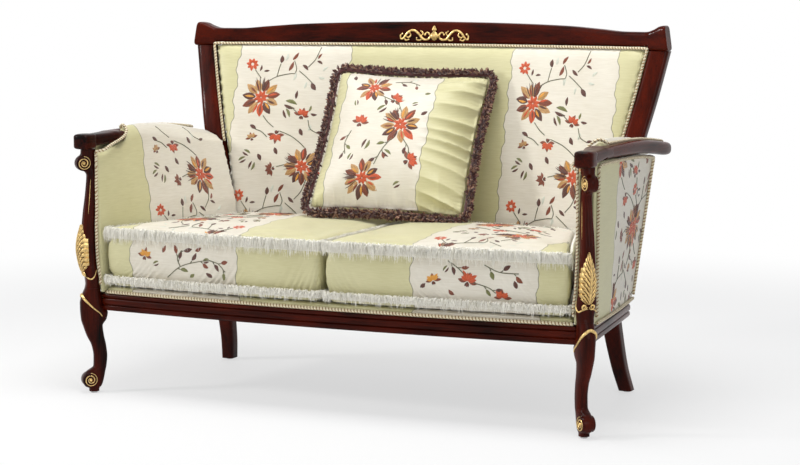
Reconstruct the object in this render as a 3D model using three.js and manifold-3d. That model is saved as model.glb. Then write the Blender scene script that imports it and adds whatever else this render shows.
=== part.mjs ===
// A two seat cabriole sofa: a carved show wood frame with a bowed back, padded arms,
// two loose seat cushions with fringed edges and one loose pillow with a ruched border.
// Millimetres. x runs to the right, y from the front feet to the back, z up from the floor.
// The right half is written out, and paired pieces mirror it at x = 0.
import * as THREE from "three";
import { mergeVertices } from "three/addons/utils/BufferGeometryUtils.js";
import Module from "manifold-3d";

const wasm = await Module();
wasm.setup();

// Clearances and mesh tolerances
const gap = 0.3; // between pieces that touch
const seatGap = 0.6; // between soft pieces and what they lie against
const webEndGap = 3; // between a strap's end and the stile
const chordGap = 1.2; // between two bowed pieces that are faceted differently
const weld = 0.001;
const overrun = 60; // how far a cutter reaches past what it cuts

// Front legs and arm posts, set on the diagonal at the corners of the seat
const frontFootSpan = 711.5; // from the middle of the sofa to a front foot's axis
const frontFootForward = 3.5;
const legHeight = 290;
const kneeReach = 35;
const kneeWidth = 42;
const postHeight = 382;
const postReach = 28;
const postWidth = 48;
const glideHeight = 4;
const glideRadius = 9;

// Rear legs, which run on upwards as the stiles of the back
const stileTop = 936;
const stileInset = 31; // from the end of the crest in to the top of a stile
const stileDepth = 628;
const stileWidth = 56;
const stileThickness = 42;

// Crest rail
const crestLift = 11; // from the top of a stile up to the straight underside of the crest
const crestHeight = 62;
const crestOverhang = 17.5; // from a front foot's axis out to the end of the crest
const crestSpanInset = 39;
const crestForward = 22;
const crestThickness = 46;
const crestCorner = 7;
const earDrop = 11;
const earLength = 62;
const earSlopeShare = 0.157;
const backBow = 105;
const seatBow = 80;
const backRakeShare = 0.2;

// Seat rails
const railDrop = 61; // from the top of a leg down to the underside of the seat rails
const railHeight = 46;
const railThickness = 40;
const sideRailThickness = 32;
const mouldingDepth = 5;
const frontBow = 28;
const frontBowInset = 34;
const frontRailInset = 27.5;
const sideFrontOut = 10.5;
const sideFrontY = 30;
const sideRearIn = 31; // from the stile's top in to the bend of the side rail
const sideRearForward = 128;
const sideReturnIn = 72;
const sideReturnForward = 109;
const rearRailThickness = 26;
const braceWidth = 34;
const braceDrop = 7;
const blockDrop = 8;
const blockLength = 88;
const blockInset = 18;
const blockRise = 3;

// Webbing, deck and dust cover
const webThickness = 1.6;
const webWidth = 55;
const deckThickness = 16;
const deckInset = 10.6;
const deckSideShare = 0.1;
const dustThickness = 1.4;
const dustInset = 12;

// Back upholstery
const padProud = 8;
const backCrown = 18;
const backEdgeInset = 10;
const padBackOffset = 6;
const backWebOffset = 3;
const tackRailHeight = 42;
const tackRailRise = 62;
const outsidePanelThickness = 5;

// Arms
const armFrontIn = 27;
const armFrontY = -4;
const armRearIn = 158;
const armRearForward = 138;
const seatRise = 183;
const armFrontLeanShare = 0.02;
const armRearLeanShare = 0.363;
const armRearFootShare = 0.06;
const armWall = 20;
const armPadForward = 44;
const armRidgeIn = 14.5;
const armRidgeRise = 59;
const armShoulderDrop = 32;
const armWoodEnd = 128;
const armBlockHeight = 41;
const armBlockFront = 52;
const armBlockBack = 8;
const armBlockIn = 21.5;
const armBlockOut = 28.5;
const armCapIn = 38.5;
const armCapOut = 26.5;
const armCapRise = 44;
const armCapUnderRise = 12;
const armRailOut = 23.5;
const armRailForward = 37;
const armRailRise = 28;
const armRailWidth = 32;
const armRailHeight = 36;
const panelThickness = 8;
const panelRearIn = 30;
const panelFlare = 54;
const panelFlareHeight = 376;
const panelBulge = 5;
const panelReturn = 16;
const armTackHeight = 32;
const armTackThickness = 16;

// Seat cushions
const cushionArmGap = 5;
const cushionFront = 36;
const cushionFrontRise = 32;
const cushionRearArmGap = 13;
const cushionBackGap = 1;
const cushionCorner = 26;
const cushionMiddleCorner = 24;
const cushionHeight = 166;
const cushionCrown = 10;
const fringeDepth = 12;
const fringeHeight = 27;
const topFringeDrop = 4;
const bottomFringeRise = 3;

// Pillow
const pillowSide = 444;
const pillowThickness = 128;
const pillowDrawIn = 9;
const pillowEdge = 1.6;
const pillowX = -11;
const pillowForward = 132;
const pillowRise = 216.5;
const pillowYaw = THREE.MathUtils.degToRad(6.8);
const pillowRake = THREE.MathUtils.degToRad(34);
const pillowRoll = THREE.MathUtils.degToRad(1.5);
const rucheWidth = 24;
const rucheThickness = 20;

// Cords and gilding
const gimpRadius = 3.6;
const gimpSideCount = 6;
const gimpBelow = 12;
const gimpRise = 44;
const scrollRadius = 3.4;
const finialHeight = 40;
const finialHalfWidth = 13.5;
const finialFlatShare = 0.5;
const scrollReach = 106;
const scrollRise = 7;
const scrollHeight = 40;
const leafRise = 48;
const leafHeight = 128;
const leafHalfWidth = 22;
const leafShift = -4;
const leafRelief = 20;
const leafSeat = 3;
const gildingWidth = 5;
const gildingThickness = 3;
const gildingTopShare = 0.94;
const gildingFootShare = 0.76;
const gildingOuterShare = 0.86;
const gildingInnerShare = -0.16;

// Heights and lines that follow from the sizes above
const legBottom = glideHeight + gap;
const postBottom = legHeight + gap;
const postTop = legHeight + postHeight;
const leafBottom = legHeight + leafRise;
const railUnderside = legHeight - railDrop;
const railTop = railUnderside + railHeight;
const webBottom = railTop + gap;
const deckBottom = webBottom + webThickness + gap;
const deckTop = deckBottom + deckThickness;
const cushionBottom = deckTop + seatGap;
const crestUnderside = stileTop + crestLift;
const crestTop = crestUnderside + crestHeight;
const padTop = crestUnderside - backEdgeInset;
const crestReach = frontFootSpan + crestOverhang;
const crestSpan = crestReach - crestSpanInset;
const earStart = crestReach - earLength;
const crestFrontDepth = stileDepth - crestForward;
const stileSpread = crestReach - stileInset;
const frontRailReach = frontFootSpan - frontRailInset;
const frontBowSpan = frontRailReach - frontBowInset;
const sideFrontX = frontFootSpan + sideFrontOut;
const sideRearX = stileSpread - sideRearIn;
const sideRearY = stileDepth - sideRearForward;
const sideReturnX = stileSpread - sideReturnIn;
const sideReturnY = stileDepth - sideReturnForward;
const panelRearX = stileSpread - panelRearIn;
const seatLine = railTop + seatRise;
const armFrontX = frontFootSpan - armFrontIn;
const armRearX = stileSpread - armRearIn;
const armRearY = stileDepth - armRearForward;
const armPadRear = stileDepth - armPadForward;
const armRidgeX = frontFootSpan - armRidgeIn;
const armRidgeHigh = postTop + armRidgeRise;
const armShoulder = postTop - armShoulderDrop;
const armBlockInnerX = frontFootSpan - armBlockIn;
const armBlockOuterX = frontFootSpan + armBlockOut;
const armCapInnerX = frontFootSpan - armCapIn;
const armCapOuterX = frontFootSpan + armCapOut;
const armCapTop = postTop + armCapRise;
const armCapUnderside = postTop + armCapUnderRise;
const armRailX = frontFootSpan + armRailOut;
const armRailY = stileDepth - armRailForward;
const armRailZ = postTop + armRailRise;
const cushionHalfWidth = armFrontX - cushionArmGap;
const cushionRearX = armRearX - cushionRearArmGap;
const pillowZ = cushionBottom + cushionHeight + pillowRise;
const scrollBase = crestUnderside + scrollRise;

const lerp = THREE.MathUtils.lerp;
const point = (x, y, z) => new THREE.Vector3(x, y, z);

// Value at t of a table of [t, value, value, ...] rows, joined by straight lines
function atTable(rows, t) {
  if (t <= rows[0][0]) return rows[0].slice(1);
  const next = rows.findIndex((row) => row[0] > t);
  if (next < 0) return rows[rows.length - 1].slice(1);
  const low = rows[next - 1];
  const high = rows[next];
  const share = (t - low[0]) / (high[0] - low[0]);
  return low.slice(1).map((value, i) => lerp(value, high[i + 1], share));
}

// Evenly spaced values from a to b, both included
function steps(a, b, count) {
  return Array.from({ length: count + 1 }, (_, i) => lerp(a, b, i / count));
}

// A closed mesh from points and triangles, turned so that its faces point out
function skin(points, faces) {
  let volume = 0;
  const cross = point(0, 0, 0);
  for (const [a, b, c] of faces) volume += points[a].dot(cross.crossVectors(points[b], points[c]));
  const turned = volume < 0 ? faces.map(([a, b, c]) => [a, c, b]) : faces;
  const geometry = new THREE.BufferGeometry().setFromPoints(points);
  geometry.setIndex(turned.flat());
  return geometry;
}

// Triangles that close a ring, wound the way that the ring runs. Ear clipping leaves out points
// in line with their neighbours, so a ring that has such points is closed in zigzag instead.
function cap(ring) {
  const normal = point(0, 0, 0);
  ring.forEach((p, i) => normal.add(p.clone().cross(ring[(i + 1) % ring.length])));
  const size = normal.toArray().map(Math.abs);
  const flat = size.indexOf(Math.max(...size));
  const axes = [0, 1, 2].filter((axis) => axis !== flat);
  const contour = ring.map((p) => new THREE.Vector2(...axes.map((axis) => p.getComponent(axis))));
  const around = THREE.ShapeUtils.area(contour);
  const clipped = THREE.ShapeUtils.triangulateShape(contour, []);
  if (clipped.length === ring.length - 2) {
    const side = ([a, b, c]) => THREE.ShapeUtils.area([contour[a], contour[b], contour[c]]);
    const total = clipped.reduce((sum, face) => sum + side(face), 0);
    return total * around < 0 ? clipped.map(([a, b, c]) => [a, c, b]) : clipped;
  }
  const faces = [];
  for (let low = 0, high = ring.length - 1; high - low > 1; low += 1, high -= 1) {
    faces.push([low, low + 1, high]);
    if (high - low > 2) faces.push([low + 1, high - 1, high]);
  }
  return faces;
}

// A closed skin through rings with equal numbers of points; a loop joins its last ring to its first
function loft(rings, loop = false) {
  const count = rings[0].length;
  const faces = [];
  rings.forEach((_, i) => {
    if (i === rings.length - 1 && !loop) return;
    const here = i * count;
    const next = ((i + 1) % rings.length) * count;
    for (let j = 0; j < count; j += 1) {
      const k = (j + 1) % count;
      faces.push([here + j, here + k, next + k], [here + j, next + k, next + j]);
    }
  });
  if (!loop) {
    const last = (rings.length - 1) * count;
    cap(rings[0]).forEach(([a, b, c]) => faces.push([a, c, b]));
    cap(rings[rings.length - 1]).forEach((face) => faces.push(face.map((i) => i + last)));
  }
  return skin(rings.flat(), faces);
}

// Corner points of a rectangle with rounded corners, as [across, along] pairs
function roundedBox(low, high, left, right, radius, perCorner) {
  const r = Math.min(radius, (high - low) / 2, (right - left) / 2);
  const centres = [
    [high - r, right - r],
    [low + r, right - r],
    [low + r, left + r],
    [high - r, left + r],
  ];
  return centres.flatMap(([a, b], quarter) =>
    steps(0, 1, perCorner - 1).map((share) => {
      const angle = ((quarter + share) * Math.PI) / 2;
      return [a + r * Math.cos(angle), b + r * Math.sin(angle)];
    }),
  );
}

// Booleans, which remember the solid that a cut or joined geometry came from
const known = new WeakMap();

function solidOf(geometry) {
  if (known.has(geometry)) return known.get(geometry);
  const bare = geometry.clone();
  bare.deleteAttribute("normal");
  bare.deleteAttribute("uv");
  const merged = mergeVertices(bare, weld);
  const mesh = new wasm.Mesh({
    numProp: 3,
    vertProperties: merged.attributes.position.array,
    triVerts: new Uint32Array(merged.index.array),
  });
  return new wasm.Manifold(mesh);
}

function geometryOf(solid) {
  const mesh = solid.getMesh();
  const geometry = new THREE.BufferGeometry();
  geometry.setAttribute("position", new THREE.BufferAttribute(mesh.vertProperties, 3));
  geometry.setIndex(new THREE.BufferAttribute(mesh.triVerts, 1));
  known.set(geometry, solid);
  return geometry;
}

const combine = (way) => (first, ...others) =>
  geometryOf(others.reduce((solid, other) => solid[way](solidOf(other)), solidOf(first)));
const join = combine("add");
const cut = combine("subtract");
const common = combine("intersect");

function mirrored(geometry) {
  const copy = geometry.clone();
  copy.scale(-1, 1, 1);
  const index = copy.index.array;
  for (let i = 0; i < index.length; i += 3) [index[i + 1], index[i + 2]] = [index[i + 2], index[i + 1]];
  return copy;
}

const both = (geometry) => [geometry, mirrored(geometry)];

// A round cord through hand chosen points, square to its path at each of them
function cord(points, radius = gimpRadius) {
  const angles = steps(0, 2 * Math.PI, gimpSideCount).slice(0, -1);
  const side = point(0, 0, 0);
  const rings = points.map((p, i) => {
    const before = points[Math.max(i - 1, 0)];
    const after = points[Math.min(i + 1, points.length - 1)];
    const along = after.clone().sub(before).normalize();
    if (i === 0) side.set(along.y, along.z, along.x);
    side.addScaledVector(along, -side.dot(along)).normalize();
    const other = along.clone().cross(side);
    return angles.map((a) =>
      p
        .clone()
        .addScaledVector(side, radius * Math.cos(a))
        .addScaledVector(other, radius * Math.sin(a)),
    );
  });
  return loft(rings);
}

// Front leg and arm post, both written on the diagonal: u points outwards, v lies across it.
// Rows: height, outer face, inner face and width, as shares of the height, the reach and the width.
const legStationShares = [
  [0, 0.38, -0.4, 0.62],
  [0.04, 0.38, -0.4, 0.62],
  [0.065, 0.74, -0.6, 0.72],
  [0.14, 0.93, -0.8, 0.8],
  [0.2, 0.63, -0.9, 0.76],
  [0.255, 0.02, -1, 0.7],
  [0.35, 0, -1.08, 0.68],
  [0.45, 0.14, -1, 0.7],
  [0.545, 0.51, -0.84, 0.76],
  [0.64, 0.78, -0.75, 0.86],
  [0.7, 0.93, -1.06, 0.95],
  [0.765, 0.98, -1.18, 1],
  [0.81, 1, -0.95, 1],
  [0.86, 1, -0.78, 1],
  [0.935, 0.84, -0.7, 0.96],
  [1, 0.6, -0.58, 0.94],
];
const postStationShares = [
  [0, 0.75, -0.72, 0.83],
  [0.03, 0.66, -0.7, 0.87],
  [0.08, 0.72, -0.65, 0.98],
  [0.123, 0.88, -0.54, 1],
  [0.183, 0.96, -0.43, 0.92],
  [0.27, 1, -0.36, 0.87],
  [0.34, 1, -0.33, 0.83],
  [0.45, 0.94, -0.33, 0.75],
  [0.56, 0.78, -0.39, 0.72],
  [0.63, 0.64, -0.43, 0.67],
  [0.7, 0.52, -0.45, 0.63],
  [0.81, 0.4, -0.52, 0.58],
  [0.838, 0.6, -0.54, 0.56],
  [0.862, 1.3, -0.55, 0.55],
  [0.9, 1.5, -0.55, 0.55],
  [0.937, 1.32, -0.55, 0.56],
  [0.962, 0.95, -0.5, 0.62],
  [1, 0.9, -0.5, 0.7],
];
const legCornerShare = 0.5;
const legCornerCount = 3;

const legStations = legStationShares.map(([h, out, inner, width]) => [
  Math.max(h * legHeight, legBottom),
  out * kneeReach,
  inner * kneeReach,
  (width * kneeWidth) / 2,
]);
const postStations = postStationShares.map(([h, out, inner, width]) => [
  Math.max(legHeight + h * postHeight, postBottom),
  out * postReach,
  inner * postReach,
  (width * postWidth) / 2,
]);

const diagonal = (u, v, z) =>
  point(frontFootSpan + (u + v) * Math.SQRT1_2, (v - u) * Math.SQRT1_2 - frontFootForward, z);

function diagonalRing(z, low, high, half, corner = half * legCornerShare) {
  return roundedBox(low, high, -half, half, corner, legCornerCount).map(([u, v]) => diagonal(u, v, z));
}

function diagonalPost(stations, grow = 0) {
  const last = stations.length - 1;
  return loft(
    stations.map(([z, out, inner, half], i) => {
      const lift = i === 0 ? -grow : i === last ? grow : 0;
      return diagonalRing(z + lift, inner - grow, out + grow, half + grow);
    }),
  );
}

const postAt = (z) => atTable(postStations, z);

// Rear leg and stile in one piece. Rows: height, place across, place in depth, width, thickness.
const stileStationShares = [
  [0, 0.8925, 0.968, 0.66, 0.95],
  [0.08, 0.874, 0.925, 0.72, 1],
  [0.165, 0.864, 0.882, 0.82, 1.05],
  [0.245, 0.857, 0.85, 0.9, 1.1],
  [0.32, 0.85, 0.846, 1, 1.05],
  [0.486, 0.851, 0.862, 1, 1],
  [0.6, 0.878, 0.883, 1, 1],
  [0.737, 0.9245, 0.911, 1, 1],
  [0.87, 0.965, 0.959, 1, 1],
  [1, 1, 1, 1, 1],
];
const stileStations = stileStationShares.map(([h, across, deep, width, thick]) => [
  h === 0 ? legBottom : h * stileTop,
  across * stileSpread,
  deep * stileDepth,
  width * stileWidth,
  thick * stileThickness,
]);
const stileCornerShare = 0.2;
const stileAt = (z) => atTable(stileStations, z);
const stileInner = (z) => stileAt(z)[0] - stileAt(z)[2] / 2;
const stileOuter = (z) => stileAt(z)[0] + stileAt(z)[2] / 2;
const stileY = (z) => stileAt(z)[1];

function rearLegStile(grow = 0) {
  const last = stileStations.length - 1;
  return loft(
    stileStations.map(([z, x, y, width, thick], i) => {
      const lift = i === 0 ? -grow : i === last ? grow : 0;
      const halfX = width / 2 + grow;
      const halfY = thick / 2 + grow;
      const corner = width * stileCornerShare;
      const outline = roundedBox(x - halfX, x + halfX, y - halfY, y + halfY, corner, legCornerCount);
      return outline.map(([px, py]) => point(px, py, z + lift - gap));
    }),
  );
}

// The back's bow in plan, deepest at the top
const bowEdge = crestSpan - stileInner(crestUnderside);
const bowAt = (x, z) => {
  const span = stileInner(z) + bowEdge;
  const height = (z - railTop) / (crestUnderside - railTop);
  return lerp(seatBow, backBow, height) * (1 - (x / span) ** 2);
};
const coreY = (x, z, offset) => stileY(z) + bowAt(x, z) + offset;
const crestFrontY = (x) => crestFrontDepth + backBow * (1 - (x / crestSpan) ** 2);

// A curved board or band that follows the back between two heights and two offsets from its core
function backBand(halfWidth, low, high, front, rear, across, up) {
  return loft(
    steps(low, high, up).map((z) => {
      const xs = steps(-halfWidth(z), halfWidth(z), across);
      return [
        ...xs.map((x) => point(x, front(x, z), z)),
        ...xs.reverse().map((x) => point(x, rear(x, z), z)),
      ];
    }),
  );
}

// Top line of the crest rail. Rows: place across, height above the underside, both as shares.
const crestTopShares = [
  [0, 1],
  [0.235, 0.97],
  [0.55, 0.87],
  [0.705, 0.745],
  [0.82, 0.645],
  [0.9, 0.645],
  [0.94, 0.76],
  [0.97, 0.9],
  [1, 0.95],
];
const crestStepShares = [0, 0.13, 0.26, 0.39, 0.53, 0.66, 0.78, 0.88, 0.96];

function crestRing(x) {
  const side = Math.sign(x) || 1;
  const out = Math.abs(x);
  const [top] = atTable(crestTopShares, out / crestReach);
  const inEar = THREE.MathUtils.clamp((out - earStart) / gap, 0, 1);
  const low = crestUnderside - inEar * earDrop;
  const lean = inEar * earSlopeShare * THREE.MathUtils.clamp((out - earStart) / (crestReach - earStart), 0, 1);
  const outline = roundedBox(0, crestThickness, low, crestUnderside + top * crestHeight, crestCorner, 3);
  return outline.map(([deep, z]) => {
    const px = side * (out - lean * (z - low));
    return point(px, crestFrontY(px) + deep, z);
  });
}

function crestRail() {
  const inner = crestStepShares.map((share) => share * earStart);
  const ear = [earStart, earStart + gap, ...steps(earStart, crestReach, 4).slice(1)];
  const half = [...inner, ...ear];
  const stations = [...half.slice(1).reverse().map((x) => -x), ...half];
  return loft(stations.map(crestRing));
}

// Moulded rails. The outline's rows: depth behind the face and height, as shares.
const mouldingShares = [
  [1, 1],
  [0.3, 0.97],
  [0, 0.9],
  [0.3, 0.8],
  [1, 0.75],
  [0.3, 0.69],
  [0, 0.55],
  [0.3, 0.4],
  [1, 0.33],
  [0.3, 0.27],
  [0.2, 0.14],
  [1, 0],
];
const railOutline = (thickness) => [
  [-thickness, railUnderside],
  [-thickness, railTop],
  ...mouldingShares.map(([deep, up]) => [-deep * mouldingDepth, railUnderside + up * railHeight]),
];

// Sweeps an outline of [outwards, z] pairs along a plan path, with mitred corners
function sweep(path, outline) {
  const rings = path.map((p, i) => {
    const before = path[Math.max(i - 1, 0)];
    const after = path[Math.min(i + 1, path.length - 1)];
    const came = new THREE.Vector2().subVectors(i ? p : after, i ? before : p).normalize();
    const goes = new THREE.Vector2().subVectors(i < path.length - 1 ? after : p, i < path.length - 1 ? p : before);
    const mean = came.clone().add(goes.normalize()).normalize();
    const stretch = 1 / Math.max(mean.dot(came), Math.SQRT1_2);
    return outline.map(([out, z]) => point(p.x + mean.y * out * stretch, p.y - mean.x * out * stretch, z));
  });
  return loft(rings);
}

const frontRailY = (x) => -frontBow * (1 - (x / frontBowSpan) ** 2);
const frontRailStepCount = 16;
const frontPath = (reach) =>
  steps(-reach, reach, frontRailStepCount).map((x) => new THREE.Vector2(x, frontRailY(x)));
const sideBend = 14;
const sidePath = () => {
  const front = new THREE.Vector2(sideFrontX, sideFrontY);
  const corner = new THREE.Vector2(sideRearX, sideRearY);
  const end = new THREE.Vector2(sideReturnX, sideReturnY);
  const arrive = front.clone().sub(corner).setLength(sideBend).add(corner);
  const leave = end.clone().sub(corner).setLength(sideBend).add(corner);
  const bend = new THREE.QuadraticBezierCurve(arrive, corner, leave).getPoints(3);
  return [front, ...bend, end];
};

function frontSeatRail() {
  const legs = both(diagonalPost(legStations, gap));
  return cut(sweep(frontPath(frontRailReach), railOutline(railThickness)), ...legs);
}

function sideSeatRail() {
  const rail = sweep(sidePath(), railOutline(sideRailThickness));
  return cut(rail, diagonalPost(legStations, gap), rearLegStile(gap));
}

const rearRailFront = -rearRailThickness / 2;
function rearRail(grow = 0) {
  return backBand(
    (z) => stileInner(z) - chordGap + grow,
    railUnderside - grow,
    railTop + grow,
    (x) => coreY(x, railTop, rearRailFront - grow),
    (x) => coreY(x, railTop, rearRailThickness / 2 + grow),
    10,
    1,
  );
}

// Flat prisms and inner frame pieces
function prism(corners, low, high) {
  return loft([low, high].map((z) => corners.map(([x, y]) => point(x, y, z))));
}

const grownRails = () => [
  sweep(frontPath(frontRailReach + gap), [
    [overrun, railUnderside - gap],
    [-railThickness - gap, railUnderside - gap],
    [-railThickness - gap, railTop + gap],
    [overrun, railTop + gap],
  ]),
  sweep(sidePath(), [
    [gap, railUnderside - gap],
    [-sideRailThickness - gap, railUnderside - gap],
    [-sideRailThickness - gap, railTop + gap],
    [gap, railTop + gap],
  ]),
];
const blockLow = railUnderside + blockRise;
const blockHigh = railTop - blockDrop;

function frontCornerBlock() {
  const innerX = sideFrontX - blockInset;
  const frontY = frontRailY(innerX) + blockInset;
  const corners = [
    [innerX - blockLength, frontY],
    [innerX, frontY],
    [innerX, frontY + blockLength],
  ];
  return cut(prism(corners, blockLow, blockHigh), ...grownRails(), diagonalPost(legStations, gap));
}

// The outer face of the side rail at a depth
const sideRailX = (y) => lerp(sideFrontX, sideRearX, (y - sideFrontY) / (sideRearY - sideFrontY));

// A brace across the corner, clear of the rails and of the stile's front face
function rearCornerBlock() {
  const slant = Math.atan2(sideFrontX - sideRearX, sideRearY - sideFrontY);
  const innerX = (y) => sideRailX(y) - (sideRailThickness + seatGap) / Math.cos(slant);
  const faces = [blockLow, blockHigh].map((z) => stileY(z) - stileAt(z)[3] / 2);
  const rearY = Math.min(...faces) - seatGap;
  const sideY = sideRearY - sideBend - blockLength / 2;
  const frontY = sideY - blockLength / 2;
  const corners = [
    [stileInner(railTop), rearY],
    [stileAt(railTop)[0] - blockInset / 2, rearY],
    [innerX(sideY), sideY],
    [innerX(frontY), frontY],
  ];
  return prism(corners, blockLow, blockHigh);
}

function crossBrace() {
  const frontY = frontRailY(0) + railThickness + gap;
  const rearY = coreY(braceWidth / 2, railTop, rearRailFront) - seatGap;
  const half = braceWidth / 2;
  const corners = [
    [-half, frontY + (frontRailY(half) - frontRailY(0))],
    [half, frontY + (frontRailY(half) - frontRailY(0))],
    [half, rearY],
    [-half, rearY],
  ];
  return prism(corners, railUnderside + braceDrop, railTop - braceDrop);
}

const webColumnShares = [-0.74, -0.37, 0, 0.37, 0.74];
const webRowShares = [0.25, 0.5, 0.75];
const webOverlapShare = 0.2;
function seatWebbing() {
  const inset = railThickness / 2;
  const columns = webColumnShares.map((share) => {
    const x = share * armRearX;
    const corners = [
      [x - webWidth / 2, frontRailY(x) + inset],
      [x + webWidth / 2, frontRailY(x) + inset],
      [x + webWidth / 2, coreY(x, railTop, 0)],
      [x - webWidth / 2, coreY(x, railTop, 0)],
    ];
    return prism(corners, webBottom, webBottom + webThickness);
  });
  const rows = webRowShares.map((share) => {
    const y = share * sideRearY;
    const front = sideRailX(y - webWidth / 2) - sideRailThickness / 2;
    const rear = sideRailX(y + webWidth / 2) - sideRailThickness / 2;
    const corners = [
      [-front, y - webWidth / 2],
      [front, y - webWidth / 2],
      [rear, y + webWidth / 2],
      [-rear, y + webWidth / 2],
    ];
    const thin = webThickness * webOverlapShare;
    return prism(corners, webBottom + thin, webBottom + webThickness - thin);
  });
  return join(...columns, ...rows);
}

const padFrontY = (x, z, proud = padProud) => {
  const plane = crestFrontDepth - backRakeShare * (crestUnderside - z);
  const across = 1 - (x / stileInner(z)) ** 2;
  const up = THREE.MathUtils.clamp((z - railTop) / (padTop - railTop), 0, 1);
  return plane + bowAt(x, z) - proud - backCrown * across * Math.sin(Math.PI * up);
};

const padAcrossCount = 14;
const padUpCount = 10;
function backPad() {
  return backBand(
    (z) => stileInner(z) - backEdgeInset,
    deckBottom,
    padTop,
    padFrontY,
    (x, z) => coreY(x, z, -padBackOffset),
    padAcrossCount,
    padUpCount,
  );
}

// Everything behind the back's upholstered face, as a cutter for the arms
function backZone() {
  return backBand(
    (z) => stileInner(z) + stileWidth / 2,
    deckBottom - overrun,
    crestTop,
    (x, z) => padFrontY(x, z, padProud + seatGap),
    () => stileDepth + backBow + overrun,
    padAcrossCount,
    padAcrossCount,
  );
}

const backWebFront = -backWebOffset;
const backWebRear = backWebFront + webThickness;
function backTackRail() {
  return backBand(
    (z) => stileInner(z) - webEndGap,
    railTop + tackRailRise,
    railTop + tackRailRise + tackRailHeight,
    (x, z) => coreY(x, z, backWebRear + chordGap * 2),
    (x, z) => coreY(x, z, stileThickness / 2 - outsidePanelThickness - chordGap * 2),
    10,
    1,
  );
}

const backWebRowShares = [0.25, 0.52, 0.8];
const backWebColumnShares = [-0.6, 0, 0.6];
function backWebbing() {
  const low = railTop + tackRailRise + tackRailHeight / 2;
  const high = crestUnderside - gap;
  const rows = backWebRowShares.map((share) => {
    const z = lerp(low, high, share);
    return backBand(
      (h) => stileInner(h) - webEndGap,
      z - webWidth / 2,
      z + webWidth / 2,
      (x, h) => coreY(x, h, backWebFront),
      (x, h) => coreY(x, h, backWebRear),
      8,
      1,
    );
  });
  const thin = webThickness * webOverlapShare;
  const columns = backWebColumnShares.map((share) =>
    loft(
      steps(low, high, 4).map((z) => {
        const xs = [-1, 1].map((side) => share * stileInner(z) + (side * webWidth) / 2);
        return [
          ...xs.map((x) => point(x, coreY(x, z, backWebFront + thin), z)),
          ...xs.reverse().map((x) => point(x, coreY(x, z, backWebRear - thin), z)),
        ];
      }),
    ),
  );
  return join(...rows, ...columns);
}

function outsideBackPanel() {
  const rear = stileThickness / 2 - gap * 2;
  return backBand(
    (z) => Math.min(stileInner(z) - gap, earStart - gap * 2),
    railTop + gap,
    crestUnderside - gap,
    (x, z) => coreY(x, z, rear - outsidePanelThickness),
    (x, z) => coreY(x, z, rear),
    12,
    6,
  );
}

// Inner face of an arm: upright at the post, leaning out towards the back
function armInnerX(y, z) {
  const front = armFrontX + (z - seatLine) * armFrontLeanShare;
  const lean = z > seatLine ? armRearLeanShare : armRearFootShare;
  const rear = armRearX + (z - seatLine) * lean;
  return lerp(front, rear, y / armRearY);
}

function seatDeck() {
  const reach = armInnerX(0, deckBottom) - backEdgeInset / 2;
  const rings = [deckBottom, deckTop].map((z) => {
    const front = steps(-reach, reach, 14).map((x) => [x, frontRailY(x) + deckInset]);
    const sideYs = steps(deckSideShare, 1 - deckSideShare, 3).map((share) => share * armRearY);
    const side = sideYs.map((y) => [armInnerX(y, deckBottom) - seatGap, y]);
    const rearX = armInnerX(armRearY, deckBottom) - backEdgeInset;
    const rear = steps(rearX, -rearX, 12).map((x) => [x, padFrontY(x, deckTop) - backEdgeInset]);
    const left = side.map(([x, y]) => [-x, y]).reverse();
    return [...front, ...side, ...rear, ...left].map(([x, y]) => point(x, y, z));
  });
  return loft(rings);
}

function dustCover() {
  const top = railUnderside - gap;
  const rearX = stileInner(railUnderside) - dustInset;
  const corners = [
    ...steps(-frontBowSpan, frontBowSpan, 10).map((x) => [x, frontRailY(x) + dustInset]),
    [sideRearX - sideRailThickness / 2, sideRearY - overrun],
    [rearX, coreY(rearX, railTop, 0)],
    ...steps(rearX, -rearX, 10).slice(1, -1).map((x) => [x, coreY(x, railTop, 0)]),
    [-rearX, coreY(rearX, railTop, 0)],
    [sideRailThickness / 2 - sideRearX, sideRearY - overrun],
  ];
  const legs = [...both(diagonalPost(legStations, chordGap)), ...both(rearLegStile(chordGap))];
  return cut(prism(corners, top - dustThickness, top), ...legs);
}

// Arm rail: a block over the post, a cap as wide as the arm, and a rounded rail that runs back.
// Rows: depth, place across, height, width and thickness, as shares of the arm rail's sizes.
const armRailStationShares = [
  [0.12, 0.98, 0.997, 1, 0.85],
  [0.22, 0.982, 1, 1, 0.89],
  [0.42, 0.989, 1, 0.94, 0.92],
  [0.6, 0.993, 0.996, 0.94, 0.95],
  [0.76, 0.997, 0.986, 0.97, 0.98],
  [0.91, 1, 0.973, 1, 1],
  [0.965, 1, 0.969, 0.92, 0.92],
  [0.99, 1, 0.967, 0.66, 0.66],
  [1, 1, 0.966, 0.36, 0.36],
];
const armRailStations = armRailStationShares.map(([y, x, z, width, height]) => [
  y * armRailY,
  x * armRailX,
  z * armRailZ,
  width * armRailWidth,
  height * armRailHeight,
]);
const armRailAt = (y) => atTable(armRailStations, y);
const armCapShares = [
  [0, 0.3, 1, -0.2, 0.86],
  [0.3, 0.16, 1, -0.08, 0.9],
  [0.52, 0.06, 1, 0, 0.94],
  [0.68, 0, 1, 0.06, 1],
  [0.86, 0, 1, 0.06, 1],
  [0.96, 0.05, 1, 0.12, 0.97],
  [1, 0.16, 0.96, 0.22, 0.88],
];
const armBlockCorner = 12;
const armBlockRound = 4;
const armRailRoundShare = 0.42;

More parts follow.
